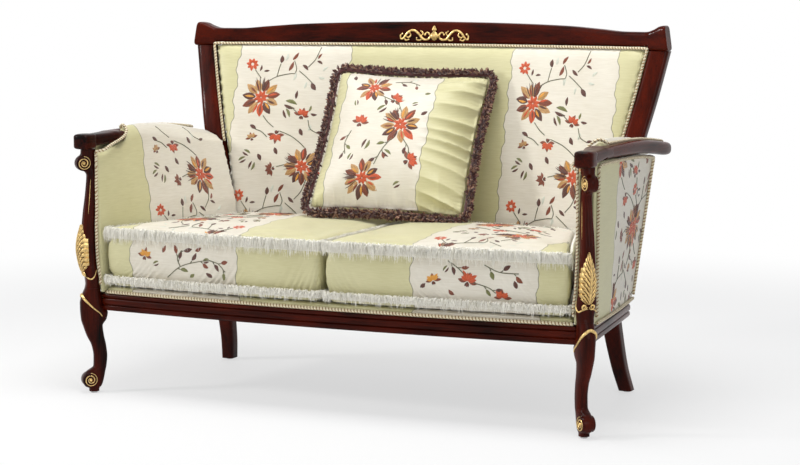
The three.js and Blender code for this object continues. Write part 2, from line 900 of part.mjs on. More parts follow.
function armRail(grow = 0) {
  const rear = loft(
    armRailStations.map(([y, x, z, width, height]) =>
      roundedBox(
        x - width / 2 - grow,
        x + width / 2 + grow,
        z - height / 2 - grow,
        z + height / 2 + grow,
        height * armRailRoundShare,
        3,
      ).map(([px, pz]) => point(px, y, pz)),
    ),
  );
  const wide = loft(
    armCapShares.map(([deep, left, right, low, high]) =>
      roundedBox(
        lerp(armCapInnerX, armCapOuterX, left) - grow,
        lerp(armCapInnerX, armCapOuterX, right) + grow,
        lerp(armCapUnderside, armCapTop, low) - grow,
        lerp(armCapUnderside, armCapTop, high) + grow,
        armBlockCorner,
        4,
      ).map(([px, pz]) => point(px, deep * armWoodEnd, pz)),
    ),
  );
  const bottom = postTop + gap;
  const levels = [
    [bottom - grow, grow - armBlockRound],
    [bottom + armBlockRound, grow],
    [bottom + armBlockHeight - armBlockRound, grow],
    [bottom + armBlockHeight + grow, grow - armBlockRound],
  ];
  const block = loft(
    levels.map(([z, swell]) =>
      roundedBox(
        armBlockInnerX - swell,
        armBlockOuterX + swell,
        -armBlockFront - swell,
        armBlockBack + swell,
        armBlockCorner,
        4,
      ).map(([px, py]) => point(px, py, z)),
    ),
  );
  return join(rear, wide, block);
}

// Arm pad: the inner wall, and the roll from its top over to the rail.
// Rows: depth and height of the ridge, as shares of the arm rail's depth and the ridge's height.
const ridgeShares = [
  [0, 0.912],
  [0.075, 0.912],
  [0.085, 0.929],
  [0.216, 0.929],
  [0.226, 0.985],
  [0.27, 0.995],
  [0.34, 1],
  [0.58, 0.992],
  [0.68, 0.98],
  [0.85, 0.96],
  [1, 0.935],
];
const padStationShares = [0, 0.044, 0.082, 0.093, 0.165, 0.237, 0.248, 0.297, 0.374, 0.505, 0.637, 0.769, 0.901, 1];
const rollStepCount = 4;
const lowRollDrop = 22;
const highRollDrop = 36;
const railSeat = 3;
const railSeatShare = 0.17;

function armPadRing(y) {
  const [ridgeShare] = atTable(ridgeShares, Math.max(y, 0) / armRailY);
  const ridge = ridgeShare * armRidgeHigh;
  const open = y > armWoodEnd;
  const back = THREE.MathUtils.clamp((y - armWoodEnd) / (sideRearY - armWoodEnd), 0, 1);
  const shoulder = open ? lerp(ridge - highRollDrop, armShoulder, back) : ridge - lowRollDrop;
  const base = armInnerX(y, shoulder);
  const [railX, railZ, railW, railH] = armRailAt(Math.max(y, armWoodEnd));
  const seatX = railX - railW / 2 - seatGap;
  const seatHigh = open ? railZ + railH / 2 - railSeat : ridge - chordGap;
  const seatLow = open ? railZ - railH * railSeatShare : ridge - railSeat * 2;
  const inner = steps(deckBottom, shoulder, 5).map((z) => [armInnerX(y, z), z]);
  const roll = steps(0, Math.PI / 2, rollStepCount).slice(1);
  const over = roll.map((a) => [
    base + (armRidgeX - base) * (1 - Math.cos(a)),
    shoulder + (ridge - shoulder) * Math.sin(a),
  ]);
  const wallTop = Math.min(shoulder, seatLow) - railSeat;
  const wall = steps(wallTop, deckBottom, 4).map((z) => [
    Math.min(armInnerX(y, z) + armWall, seatX - gap),
    z,
  ]);
  return [...inner, ...over, [seatX, seatHigh], [seatX, seatLow], ...wall].map(([x, z]) => point(x, y, z));
}

function armPad() {
  const stations = padStationShares.map((share) => lerp(armFrontY, armPadRear, share));
  const pad = loft(stations.map(armPadRing));
  const frontCutters = [
    diagonalPost(postStations, seatGap),
    diagonalPost(legStations, seatGap),
    armRail(seatGap),
    rearLegStile(seatGap),
    backZone(),
  ];
  return cut(pad, ...frontCutters);
}

// Outside arm panel: from the post to the rear corner, then in to the stile
const panelX = (z) => panelRearX + (panelFlare * (z - railTop)) / panelFlareHeight;
const panelAlongCount = 5;
const panelUpCount = 5;

// A point of the panel's outer face in plan: t runs from the post to the rear corner
function panelPoint(z, t, inset = 0) {
  const bulge = panelBulge * Math.sin(Math.PI * t);
  return [lerp(sideFrontX, panelX(z), t) + bulge - inset, lerp(sideFrontY, sideRearY, t)];
}

const armRailUnderside = (y) => {
  const [, z, , height] = armRailAt(Math.max(y, armWoodEnd / 2));
  return z - height / 2 - seatGap;
};

function outsideArmPanel() {
  const side = (share, inset) =>
    steps(0, 1, panelAlongCount).map((t) => {
      const top = armRailUnderside(lerp(sideFrontY, sideRearY, t)) - gap;
      const z = lerp(deckBottom, top, share);
      const [x, y] = panelPoint(z, t, inset);
      return point(x, t === 1 ? y - inset : y, z);
    });
  const rings = steps(0, 1, panelUpCount).map((share) => {
    const z = lerp(deckBottom, armShoulder, share);
    const end = (inset) => point(stileOuter(z) + seatGap, sideRearY + panelReturn - inset, z);
    return [
      ...side(share, 0),
      end(0),
      end(panelThickness),
      ...side(share, panelThickness).reverse(),
    ];
  });
  const cutters = [
    diagonalPost(postStations, gap),
    diagonalPost(legStations, gap),
    rearLegStile(gap),
    armRail(gap),
  ];
  return cut(loft(rings), ...cutters);
}

function armTackRail() {
  const low = deckBottom + armTackHeight;
  const high = low + armTackHeight;
  const frontY = sideFrontY + panelThickness;
  const frontX = armInnerX(frontY, low) + armWall + chordGap * 2;
  const [rearX, rearY] = stileAt(low);
  const corners = [
    [frontX, frontY],
    [frontX + armTackThickness, frontY],
    [rearX + armTackThickness / 2, rearY],
    [rearX - armTackThickness / 2, rearY],
  ];
  return cut(prism(corners, low, high), rearLegStile(gap), diagonalPost(postStations, gap));
}

// Seat cushion outline in plan, right hand side, walked round with rounded corners
function roundedPlan(corners, radii, perCorner, between) {
  const spots = [];
  corners.forEach((here, i) => {
    const before = corners[(i + corners.length - 1) % corners.length];
    const after = corners[(i + 1) % corners.length];
    const radius = radii[i];
    const arrive = before.clone().sub(here).setLength(radius).add(here);
    const leave = after.clone().sub(here).setLength(radius).add(here);
    const bend = new THREE.QuadraticBezierCurve(arrive, here, leave).getPoints(perCorner);
    spots.push(...bend);
    const arriveNext = here.clone().sub(after).setLength(radii[(i + 1) % radii.length]).add(after);
    const straight = new THREE.LineCurve(leave, arriveNext).getPoints(between[i]);
    spots.push(...straight.slice(1, -1));
  });
  return spots;
}

function outwards(plan) {
  const centre = plan.reduce((sum, p) => sum.add(p), new THREE.Vector2()).divideScalar(plan.length);
  return plan.map((p, i) => {
    const before = plan[(i + plan.length - 1) % plan.length];
    const after = plan[(i + 1) % plan.length];
    const along = after.clone().sub(before).normalize();
    const out = new THREE.Vector2(along.y, -along.x);
    return out.dot(p.clone().sub(centre)) < 0 ? out.negate() : out;
  });
}

function cushionPlan() {
  // y is carried as a share from the front edge to the rear edge, so that both can bow
  const corners = [
    new THREE.Vector2(gap, 0),
    new THREE.Vector2(cushionHalfWidth, 0),
    new THREE.Vector2(cushionRearX, 1),
    new THREE.Vector2(gap, 1),
  ];
  const frontY = (x) => -cushionFront + cushionFrontRise * (x / cushionHalfWidth) ** 2;
  const rearY = (x) => padFrontY(x, cushionBottom) - cushionBackGap;
  const depth = rearY(cushionRearX);
  const scaled = corners.map((c) => new THREE.Vector2(c.x, c.y * depth));
  const radii = [cushionMiddleCorner, cushionCorner, cushionCorner, cushionMiddleCorner];
  const plan = roundedPlan(scaled, radii, 3, [8, 6, 7, 5]);
  return plan.map((p) => new THREE.Vector2(p.x, lerp(frontY(p.x), rearY(p.x), p.y / depth)));
}

// Rows: inset of the side wall as a share of the fringe's depth, and height as a share of the
// wall that shows between the two fringes
const cushionWallShares = [
  [1.08, 0.01],
  [0.45, 0.21],
  [0.2, 0.54],
  [0.45, 0.85],
  [1.08, 1.02],
];
const cushionFootInsetShare = 1.3;
const cushionEdgeInsetShare = 1.1;
const cushionTopInsetShare = 1.35;
const cushionEdgeDrop = 6;
const cushionFootShare = 0.9;
// Rows: share of the outline's size and share of the crown's height
const cushionCrownShares = [
  [0.86, 0.28],
  [0.7, 0.56],
  [0.5, 0.8],
  [0.28, 0.95],
  [0.1, 1],
];

function seatCushion() {
  const plan = cushionPlan();
  const out = outwards(plan);
  const centre = plan.reduce((sum, p) => sum.add(p), new THREE.Vector2()).divideScalar(plan.length);
  const scaledRing = (k, z) =>
    plan.map((p) => point(lerp(centre.x, p.x, k), lerp(centre.y, p.y, k), z));
  const wallLow = bottomFringeRise + fringeHeight;
  const wallHigh = cushionHeight - topFringeDrop - fringeHeight;
  const rows = [
    [cushionFootInsetShare, bottomFringeRise],
    ...cushionWallShares.map(([inset, up]) => [inset, lerp(wallLow, wallHigh, up)]),
    [cushionEdgeInsetShare, cushionHeight - cushionEdgeDrop],
    [cushionTopInsetShare, cushionHeight - gap],
  ];
  const side = rows.map(([inset, up]) =>
    plan.map((p, i) =>
      point(
        p.x - out[i].x * inset * fringeDepth,
        p.y - out[i].y * inset * fringeDepth,
        cushionBottom + up,
      ),
    ),
  );
  const crown = cushionCrownShares.map(([k, rise]) =>
    scaledRing(k, cushionBottom + cushionHeight + rise * cushionCrown),
  );
  return loft([scaledRing(cushionFootShare, cushionBottom), ...side, ...crown]);
}

function cushionFringe(low) {
  const plan = cushionPlan();
  const out = outwards(plan);
  const outline = [
    [0.97, 0.12],
    [0.97, 0.88],
    [0.55, 1],
    [0, 0.6],
    [0.06, 0.25],
    [0.5, 0],
  ];
  return loft(
    plan.map((p, i) =>
      outline.map(([inset, up]) =>
        point(
          p.x - out[i].x * inset * fringeDepth,
          p.y - out[i].y * inset * fringeDepth,
          low + up * fringeHeight,
        ),
      ),
    ),
    true,
  );
}

const topFringeLow = cushionBottom + cushionHeight - topFringeDrop - fringeHeight;
const bottomFringeLow = cushionBottom + bottomFringeRise;

// Pillow: a square with drawn in edges, thick in the middle and thin at its seam.
// Its own x is its width, y its thickness and z its height.
const pillowSideCount = 10;
const pillowCornerShare = 0.035;

function pillowOutline() {
  const half = pillowSide / 2;
  const corners = [
    [-half, -half],
    [half, -half],
    [half, half],
    [-half, half],
  ].map(([x, z]) => new THREE.Vector2(x, z));
  const radii = corners.map(() => pillowSide * pillowCornerShare);
  const plan = roundedPlan(corners, radii, 2, corners.map(() => pillowSideCount - 2));
  return plan.map((p) => {
    const along = Math.min(Math.abs(p.x), Math.abs(p.y)) / half;
    const drawn = 1 - (pillowDrawIn / half) * (1 - along ** 2);
    return p.clone().multiplyScalar(drawn);
  });
}

// Rows: share of the outline and share of the half thickness, from the middle out to the seam
const pillowSwellShares = [
  [0.12, 1],
  [0.34, 0.95],
  [0.55, 0.82],
  [0.73, 0.62],
  [0.87, 0.38],
  [0.95, 0.19],
];

function throwPillow() {
  const plan = pillowOutline();
  const half = pillowThickness / 2;
  const ring = (k, y) => plan.map((p) => point(p.x * k, y, p.y * k));
  const front = pillowSwellShares.map(([k, swell]) => ring(k, -swell * half));
  const rear = pillowSwellShares.map(([k, swell]) => ring(k, swell * half)).reverse();
  return loft([...front, ring(1, -pillowEdge), ring(1, pillowEdge), ...rear]);
}

function pillowRuche() {
  const plan = pillowOutline();
  const out = outwards(plan);
  const angles = steps(0, 2 * Math.PI, 6).slice(0, -1);
  return loft(
    plan.map((p, i) =>
      angles.map((a) => {
        const reach = seatGap + (rucheWidth / 2) * (1 + Math.cos(a));
        return point(p.x + out[i].x * reach, (Math.sin(a) * rucheThickness) / 2, p.y + out[i].y * reach);
      }),
    ),
    true,
  );
}

function placePillow(geometry) {
  const turn = new THREE.Euler(-pillowRake, pillowRoll, pillowYaw, "ZXY");
  const pillowY = padFrontY(pillowX, pillowZ) - pillowForward;
  const matrix = new THREE.Matrix4().makeRotationFromEuler(turn).setPosition(pillowX, pillowY, pillowZ);
  return geometry.applyMatrix4(matrix);
}

// Gimp cords along the edges of the upholstery
const gimpBend = 4;

// Up one stile, across under the crest and down the other
function backFrameCord(edge, depth, low, top) {
  const rise = steps(low, top - gimpBend, 9).map((z) => point(edge(z), depth(edge(z), z), z));
  const bend = edge(top) - gimpBend;
  const across = steps(bend, -bend, 14).map((x) => point(x, depth(x, top), top));
  const fall = rise.map((p) => point(-p.x, p.y, p.z)).reverse();
  return cord([...rise, ...across, ...fall]);
}

function backGimp() {
  return backFrameCord(
    (z) => stileInner(z) - backEdgeInset / 2,
    (x, z) => crestFrontDepth - backRakeShare * (crestUnderside - z) + bowAt(x, z),
    armShoulder + gimpRise,
    crestUnderside - backEdgeInset / 2,
  );
}

function outsideBackGimp() {
  return backFrameCord(
    (z) => stileInner(z) - gimpRadius - seatGap,
    (x, z) => coreY(x, z, stileThickness / 2 + gimpRadius + gap + chordGap * 2),
    railTop + gimpRise,
    crestUnderside - gimpRadius - seatGap,
  );
}

function frontRailGimp() {
  const reach = armInnerX(0, railTop) - backEdgeInset;
  const inset = deckInset - gimpRadius - gap * 2;
  const z = railTop + gimpRadius + gap;
  return cord(steps(-reach, reach, 14).map((x) => point(x, frontRailY(x) + inset, z)));
}

const gimpLift = gimpRadius + seatGap;
const gimpStartShare = 0.03;
const gimpEndShare = 0.975;
const gimpCornerShare = 0.01;
const armTopStartShare = 0.26;
const armTopEndShare = 0.97;
const armTopSink = 1.8;
function sideRailGimp() {
  const z = railTop + gimpRadius + gap;
  return cord(
    steps(gimpStartShare, gimpEndShare + gimpCornerShare, 7).map((t) => {
      const [x, y] = panelPoint(z, t, -gimpLift);
      return point(x, y, z);
    }),
  );
}

function outerArmGimp() {
  const low = railTop + gimpRise / 2;
  const spot = (z, t) => {
    const [x, y] = panelPoint(z, t, -gimpLift);
    return point(x, y, z);
  };
  const under = (t) => armRailUnderside(lerp(sideFrontY, sideRearY, t)) - gimpBelow;
  const up = steps(low, under(0) - gimpBend, 5).map((z) => spot(z, gimpStartShare));
  const back = steps(gimpStartShare + gimpCornerShare, gimpEndShare - gimpCornerShare, 7).map((t) => spot(under(t), t));
  const down = steps(under(1) - gimpBend, low, 5).map((z) => spot(z, gimpEndShare));
  return cord([...up, ...back, ...down]);
}

function armGimp() {
  const beside = (z) => {
    const [, inner, half] = postAt(z);
    const corner = diagonal(inner, -half, z);
    const rounded = half * legCornerShare * (Math.SQRT2 - 1);
    const y = Math.min(corner.y, armFrontY - gimpRadius - seatGap) - gap;
    return point(corner.x + rounded - gimpRadius - seatGap, y, z);
  };
  return cord(steps(postBottom + gimpBelow, postTop - gimpBelow * 2, 12).map(beside));
}

function armTopGimp() {
  return cord(
    steps(armTopStartShare, armTopEndShare, 8).map((share) => {
      const y = share * armRailY;
      const [x, z, , height] = armRailAt(y);
      return point(x - armRailWidth / 4, y, z + height / 2 - armTopSink + gimpLift - gap);
    }),
  );
}

// Gilding
// Right hand scroll. Rows: place across and height, as shares of its reach and its height.
const scrollShares = [
  [0.28, 0.45],
  [0.22, 0.6],
  [0.15, 0.5],
  [0.14, 0.27],
  [0.24, 0.1],
  [0.38, 0.1],
  [0.53, 0.3],
  [0.66, 0.55],
  [0.81, 0.65],
  [0.95, 0.52],
  [1, 0.24],
  [0.92, 0.04],
  [0.84, 0.14],
  [0.85, 0.32],
];
const finialShares = [
  [0, 0],
  [0.66, 0.1],
  [1, 0.3],
  [0.66, 0.55],
  [0.3, 0.75],
  [0.22, 0.9],
  [0, 1],
];
const finialSideCount = 10;

function crestOrnament() {
  const clear = gap * 2;
  const spots = scrollShares.map(([across, up]) => {
    const x = across * scrollReach;
    return point(x, crestFrontY(x) - clear - scrollRadius, scrollBase + up * scrollHeight);
  });
  const curve = new THREE.CatmullRomCurve3(spots);
  const stem = cord(curve.getPoints(26), scrollRadius);
  const profile = finialShares.map(
    ([r, h]) => new THREE.Vector2(r * finialHalfWidth, h * finialHeight),
  );
  const finial = new THREE.LatheGeometry(profile, finialSideCount);
  finial.rotateX(Math.PI / 2);
  finial.scale(1, finialFlatShare, 1);
  const y = crestFrontY(finialHalfWidth) - clear - finialHalfWidth * finialFlatShare;
  finial.translate(0, y, scrollBase);
  return join(finial, ...both(stem));
}

// Rows: height, half width and relief, as shares of the leaf's sizes
const leafShares = [
  [0, 0.55, 0.3],
  [0.15, 0.86, 0.55],
  [0.4, 1, 0.95],
  [0.6, 0.88, 1],
  [0.78, 0.6, 0.75],
  [0.9, 0.34, 0.5],
  [1, 0.1, 0.3],
];
const leafSideCount = 10;

function leaf() {
  const bulk = loft(
    leafShares.map(([h, wide, relief]) => {
      const z = leafBottom + h * leafHeight;
      const [out] = postAt(z);
      const deep = leafSeat + relief * leafRelief;
      return steps(0, 2 * Math.PI, leafSideCount)
        .slice(0, -1)
        .map((a) => diagonal(out - leafSeat + deep * Math.cos(a), leafShift + wide * leafHalfWidth * Math.sin(a), z));
    }),
  );
  return cut(bulk, diagonalPost(postStations, gap));
}

// A band that runs round the knee in a slanted plane, highest at the front
function kneeGilding() {
  const top = new THREE.Vector2(gildingOuterShare * kneeReach, gildingTopShare * legHeight);
  const foot = new THREE.Vector2(gildingInnerShare * kneeReach, gildingFootShare * legHeight);
  const along = top.clone().sub(foot).normalize();
  const across = new THREE.Vector2(-along.y, along.x).multiplyScalar(gildingWidth / 2);
  const beyond = top.clone().addScaledVector(along, overrun);
  const outline = [
    foot.clone().add(across),
    beyond.clone().add(across),
    beyond.clone().sub(across),
    foot.clone().sub(across),
  ];
  const slab = loft([-overrun, overrun].map((v) => outline.map((p) => diagonal(p.x, v, p.y))));
  const band = common(diagonalPost(legStations, gildingThickness), slab);
  return cut(band, diagonalPost(legStations, gap));
}

function glide(x, y) {
  const disc = new THREE.CylinderGeometry(glideRadius, glideRadius, glideHeight, 12);
  disc.rotateX(Math.PI / 2);
  return disc.translate(x, y, glideHeight / 2);
}

// Materials
const material = (color, roughness, metalness = 0) =>
  new THREE.MeshStandardMaterial({ color, roughness, metalness });
const mahogany = material(0x3a120b, 0.25);
const beech = material(0xb99466, 0.7);
const satin = material(0xdcdab4, 0.5);
const trim = material(0xe6dfc2, 0.9);
const fringe = material(0xf3efe2, 1);
const ruche = material(0x6b3f34, 0.95);
const gilt = material(0xb08a3a, 0.35, 0.9);
const jute = material(0x8d7a58, 1);
const blackCloth = material(0x24221f, 1);
const steel = material(0x6d6a66, 0.5, 0.8);

const sofa = new THREE.Group();

function add(name, geometry, surface) {
  const mesh = new THREE.Mesh(geometry, surface);
  mesh.name = name;
  sofa.add(mesh);
}

function addPair(name, geometry, surface) {
  add(name + "_right", geometry, surface);
  add(name + "_left", mirrored(geometry), surface);
}

// Show wood
addPair("front_leg", diagonalPost(legStations), mahogany);
addPair("arm_post", diagonalPost(postStations), mahogany);
addPair("rear_leg_stile", rearLegStile(), mahogany);
addPair("arm_rail", armRail(), mahogany);
add("crest_rail", crestRail(), mahogany);
add("front_seat_rail", frontSeatRail(), mahogany);
addPair("side_seat_rail", sideSeatRail(), mahogany);

// Inner frame
add("rear_seat_rail", rearRail(), beech);
add("seat_cross_brace", crossBrace(), beech);
addPair("front_corner_block", frontCornerBlock(), beech);
addPair("rear_corner_block", rearCornerBlock(), beech);
add("back_tack_rail", backTackRail(), beech);
addPair("arm_tack_rail", armTackRail(), beech);

// Upholstery
add("seat_webbing", seatWebbing(), jute);
add("back_webbing", backWebbing(), jute);
add("seat_deck", seatDeck(), satin);
add("dust_cover", dustCover(), blackCloth);
add("back_pad", backPad(), satin);
add("outside_back_panel", outsideBackPanel(), satin);
addPair("arm_pad", armPad(), satin);
addPair("outside_arm_panel", outsideArmPanel(), satin);
add("back_gimp", backGimp(), trim);
add("outside_back_gimp", outsideBackGimp(), trim);
add("front_rail_gimp", frontRailGimp(), trim);
addPair("side_rail_gimp", sideRailGimp(), trim);
addPair("outer_arm_gimp", outerArmGimp(), trim);
addPair("arm_gimp", armGimp(), trim);
addPair("arm_top_gimp", armTopGimp(), trim);

// Loose cushions
addPair("seat_cushion", seatCushion(), satin);
addPair("cushion_top_fringe", cushionFringe(topFringeLow), fringe);
addPair("cushion_bottom_fringe", cushionFringe(bottomFringeLow), fringe);
add("throw_pillow", placePillow(throwPillow()), satin);
add("pillow_ruche", placePillow(pillowRuche()), ruche);

// Gilding and glides
add("crest_ornament", crestOrnament(), gilt);
addPair("post_leaf", leaf(), gilt);
addPair("knee_gilding", kneeGilding(), gilt);
addPair("front_glide", glide(frontFootSpan, -frontFootForward), steel);
addPair("rear_glide", glide(stileAt(0)[0], stileY(0)), steel);

// The origin lies on the floor under the middle of the sofa
const box = new THREE.Box3().setFromObject(sofa);
sofa.position.y = -(box.min.y + box.max.y) / 2;

export default sofa;
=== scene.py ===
import math

import bmesh
import bpy
import numpy as np
from mathutils import Matrix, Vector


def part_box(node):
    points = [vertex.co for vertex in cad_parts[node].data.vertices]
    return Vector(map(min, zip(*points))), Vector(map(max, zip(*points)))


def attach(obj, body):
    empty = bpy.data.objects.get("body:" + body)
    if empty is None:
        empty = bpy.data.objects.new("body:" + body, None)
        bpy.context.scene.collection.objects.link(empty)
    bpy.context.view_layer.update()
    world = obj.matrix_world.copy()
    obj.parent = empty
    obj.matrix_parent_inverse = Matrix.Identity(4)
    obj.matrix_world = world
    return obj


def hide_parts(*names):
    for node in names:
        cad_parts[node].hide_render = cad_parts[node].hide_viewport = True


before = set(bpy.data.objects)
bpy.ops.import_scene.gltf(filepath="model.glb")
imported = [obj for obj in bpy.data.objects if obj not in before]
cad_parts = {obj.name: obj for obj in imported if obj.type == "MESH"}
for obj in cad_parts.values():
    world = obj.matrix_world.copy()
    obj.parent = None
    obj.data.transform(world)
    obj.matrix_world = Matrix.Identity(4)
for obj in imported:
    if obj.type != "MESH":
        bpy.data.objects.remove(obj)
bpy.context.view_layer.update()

# A two seat cabriole sofa in the CAD's own frame. Sizes and the shapes' formulas are in millimetres, which
# spot() or MM turns into Blender's metres. The stage and the bands of the cloth are given in metres.
MM = 0.001
TWO_PI, RIGHT_ANGLE = 2 * math.pi, math.pi / 2
ROOT = "frame"
CUSHION_BODY = {1: "right_cushion", -1: "left_cushion"}
SIDE_NAME = {1: "right", -1: "left"}
# Depths are measured from between the front feet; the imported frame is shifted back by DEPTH_SHIFT, in metres
GLIDE_LOW, GLIDE_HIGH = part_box("front_glide_right")
FOOT_FORWARD = 3.5
DEPTH_SHIFT = (GLIDE_LOW.y + GLIDE_HIGH.y) / 2 + FOOT_FORWARD * MM
RNG = np.random.default_rng(7)


def axes_matrix(x_axis, y_axis, z_axis, place):
    """The matrix of a frame that stands at `place` with the given axes."""
    matrix = np.eye(4)
    matrix[:3] = np.column_stack([x_axis, y_axis, z_axis, place])
    return Matrix(matrix.tolist())


def unit(vectors):
    """Vectors scaled to length 1."""
    return vectors / np.maximum(np.linalg.norm(vectors, axis=-1, keepdims=True), 1e-12)


def linked(name, data):
    """A new object that shows the data in the scene."""
    made = bpy.data.objects.new(name, data)
    bpy.context.scene.collection.objects.link(made)
    return made


# Camera
# Fitted to the photo: place in metres, angles in degrees, focal length in pixels of the picture's width
CAMERA_PLACE = (2.3773, -4.8133 + DEPTH_SHIFT, 1.1134)
CAMERA_AZIMUTH, CAMERA_TILT = 24.237, 6.767
FOCAL_PIXELS, PICTURE_PIXELS, SENSOR_WIDTH = 2086.34, 800, 36.0


def camera():
    """The camera that the photo was fitted with: it looks down by its tilt, from the right by its azimuth."""
    a, e = math.radians(CAMERA_AZIMUTH), math.radians(CAMERA_TILT)
    right = np.array([math.cos(a), math.sin(a), 0])
    back = np.array([math.sin(a) * math.cos(e), -math.cos(a) * math.cos(e), math.sin(e)])
    data = bpy.data.cameras.new("camera")
    data.sensor_width = SENSOR_WIDTH
    data.lens = FOCAL_PIXELS * SENSOR_WIDTH / PICTURE_PIXELS
    data.clip_end = 60
    made = linked("camera", data)
    made.matrix_world = axes_matrix(right, np.cross(back, right), back, CAMERA_PLACE)
    bpy.context.scene.camera = made


camera()


# Shader node helpers
def put(tree, socket, value):
    """Links a socket to another one, or sets its value."""
    if isinstance(value, bpy.types.NodeSocket):
        tree.links.new(value, socket)
    else:
        socket.default_value = value


def node(tree, kind, settings=None, **inputs):
    """Adds a shader node; inputs are given by name, with _ for a space, or by number as i0, i1."""
    made = tree.nodes.new("ShaderNode" + kind)
    for key, value in (settings or {}).items():
        setattr(made, key, value)
    for key, value in inputs.items():
        numbered = key[0] == "i" and key[1:].isdigit()
        put(tree, made.inputs[int(key[1:])] if numbered else made.inputs[key.replace("_", " ")], value)
    return made


def maths(tree, operation, *values):
    made = tree.nodes.new("ShaderNodeMath")
    made.operation = operation
    for socket, value in zip(made.inputs, values):
        put(tree, socket, value)
    return made.outputs[0]


def mix(tree, factor, first, second):
    return node(tree, "Mix", {"data_type": "RGBA"}, i0=factor, i6=first, i7=second).outputs[2]


def span(tree, value, low, high, new_low=0.0, new_high=1.0, smooth=False):
    """Maps low..high to new_low..new_high, held at both ends."""
    settings = {"interpolation_type": "SMOOTHSTEP"} if smooth else {}
    made = node(tree, "MapRange", settings, i0=value, i1=low, i2=high, i3=new_low, i4=new_high)
    return made.outputs[0]


def colour(red, green, blue):
    """A colour written as it shows, in 0 to 255, as the linear values that a shader takes."""
    shown = np.array([red, green, blue]) / 255
    linear = np.where(shown <= 0.04045, shown / 12.92, ((shown + 0.055) / 1.055) ** 2.4)
    return (*linear.tolist(), 1.0)


def new_material(name, roughness, **settings):
    """A material with its plain numbers set on the shader's own sockets."""
    made = bpy.data.materials.new(name)
    made.use_nodes = True
    shader = made.node_tree.nodes["Principled BSDF"]
    shader.inputs["Roughness"].default_value = roughness
    for key, value in settings.items():
        shader.inputs[key.replace("_", " ")].default_value = value
    return made, made.node_tree, shader


# Stage and light
FLOOR_REACH = 14.0
FLOOR_PLAIN = 0.62  # share of the floor's white that the shadow can't take away
FADE_START, FADE_END = 1.6, 3.4  # metres from the middle, between which the floor turns plain white
WORLD_LIGHT = 0.28


def seen_by_eye(tree, *rays):
    """1 for camera and glossy rays, and for any further kinds of ray that are named."""
    path = node(tree, "LightPath").outputs
    seen = maths(tree, "MAXIMUM", path["Is Camera Ray"], path["Is Glossy Ray"])
    for ray in rays:
        seen = maths(tree, "MAXIMUM", seen, path[ray])
    return seen


def floor():
    """A pale floor that keeps the shadow: the camera sees it part shadowed, part plain white."""
    corners = [(x * FLOOR_REACH, y * FLOOR_REACH, 0) for x, y in ((-1, -1), (1, -1), (1, 1), (-1, 1))]
    mesh = bpy.data.meshes.new("floor")
    mesh.from_pydata(corners, [], [(0, 1, 2, 3)])
    linked("floor", mesh)
    material, tree, shader = new_material("pale_floor", 0.6, Specular_IOR_Level=0.2)
    shader.inputs["Base Color"].default_value = colour(243, 243, 243)
    ground = node(tree, "TexCoord").outputs["Object"]
    away = node(tree, "VectorMath", {"operation": "LENGTH"}, i0=ground).outputs["Value"]
    fade = span(tree, away, FADE_START, FADE_END, FLOOR_PLAIN, 1.0, smooth=True)
    fade = maths(tree, "MULTIPLY", fade, seen_by_eye(tree))
    white = node(tree, "Emission", Color=(1, 1, 1, 1), Strength=1.0)
    blend = node(tree, "MixShader", i0=fade, i1=shader.outputs[0], i2=white.outputs[0])
    tree.links.new(blend.outputs[0], tree.nodes["Material Output"].inputs["Surface"])
    mesh.materials.append(material)


def studio():
    """A white background that lights the sofa softly."""
    world = bpy.data.worlds.new("studio")
    bpy.context.scene.world = world
    world.use_nodes = True
    tree = world.node_tree
    tree.nodes.clear()
    soft = node(tree, "Background", Color=(0.93, 0.96, 1.0, 1), Strength=WORLD_LIGHT)
    plain = node(tree, "Background", Color=(1, 1, 1, 1), Strength=1.0)
    shown = seen_by_eye(tree, "Is Transmission Ray")
    both = node(tree, "MixShader", i0=shown, i1=soft.outputs[0], i2=plain.outputs[0])
    node(tree, "OutputWorld", Surface=both.outputs[0])


def lamp(name, place, aim, size, power, tint=(1, 1, 1)):
    """A square area lamp at `place`, turned to face `aim`."""
    data = bpy.data.lights.new(name, "AREA")
    data.shape, data.size, data.energy, data.color = "SQUARE", size, power, tint
    back = unit(np.array(place, float) - np.array(aim, float))
    side = unit(np.cross([0, 0, 1], back))
    linked(name, data).matrix_world = axes_matrix(side, np.cross(back, side), back, place)


floor()
studio()
lamp("key", (-3.5, -2.5, 2.3), (0, 0, 0.5), 0.6, 76, (1.0, 0.99, 0.97))
lamp("fill", (3.4, -3.0, 1.9), (0, 0, 0.5), 2.4, 32, (0.98, 0.99, 1.0))
lamp("top", (0.1, -0.5, 3.4), (0, 0, 0.4), 1.7, 78)
bpy.context.scene.view_settings.view_transform = "Standard"


# Shape helpers
def through(rows, at):
    """Rows of [place, value, ...] joined by cubics that never overshoot, read at the places `at`.

    Each slope is the harmonic mean of the slopes on its two sides, and zero at a turning point."""
    rows, at = np.asarray(rows, float), np.asarray(at, float)
    place, value = rows[:, 0], rows[:, 1:]
    step = np.diff(place)
    slope = np.diff(value, axis=0) / step[:, None]
    tangent = np.zeros_like(value)
    total = slope[:-1] + slope[1:]
    same = slope[:-1] * slope[1:] > 0
    tangent[1:-1] = np.where(same, 2 * slope[:-1] * slope[1:] / np.where(same, total, 1), 0)
    tangent[0], tangent[-1] = slope[0], slope[-1]
    i = np.clip(np.searchsorted(place, at, side="right") - 1, 0, len(step) - 1)
    s = np.clip((at - place[i]) / step[i], 0, 1)[..., None]
    h = step[i][..., None]
    return (
        value[i] * (1 + 2 * s) * (1 - s) ** 2
        + tangent[i] * h * s * (1 - s) ** 2
        + value[i + 1] * s**2 * (3 - 2 * s)
        + tangent[i + 1] * h * s**2 * (s - 1)
    )


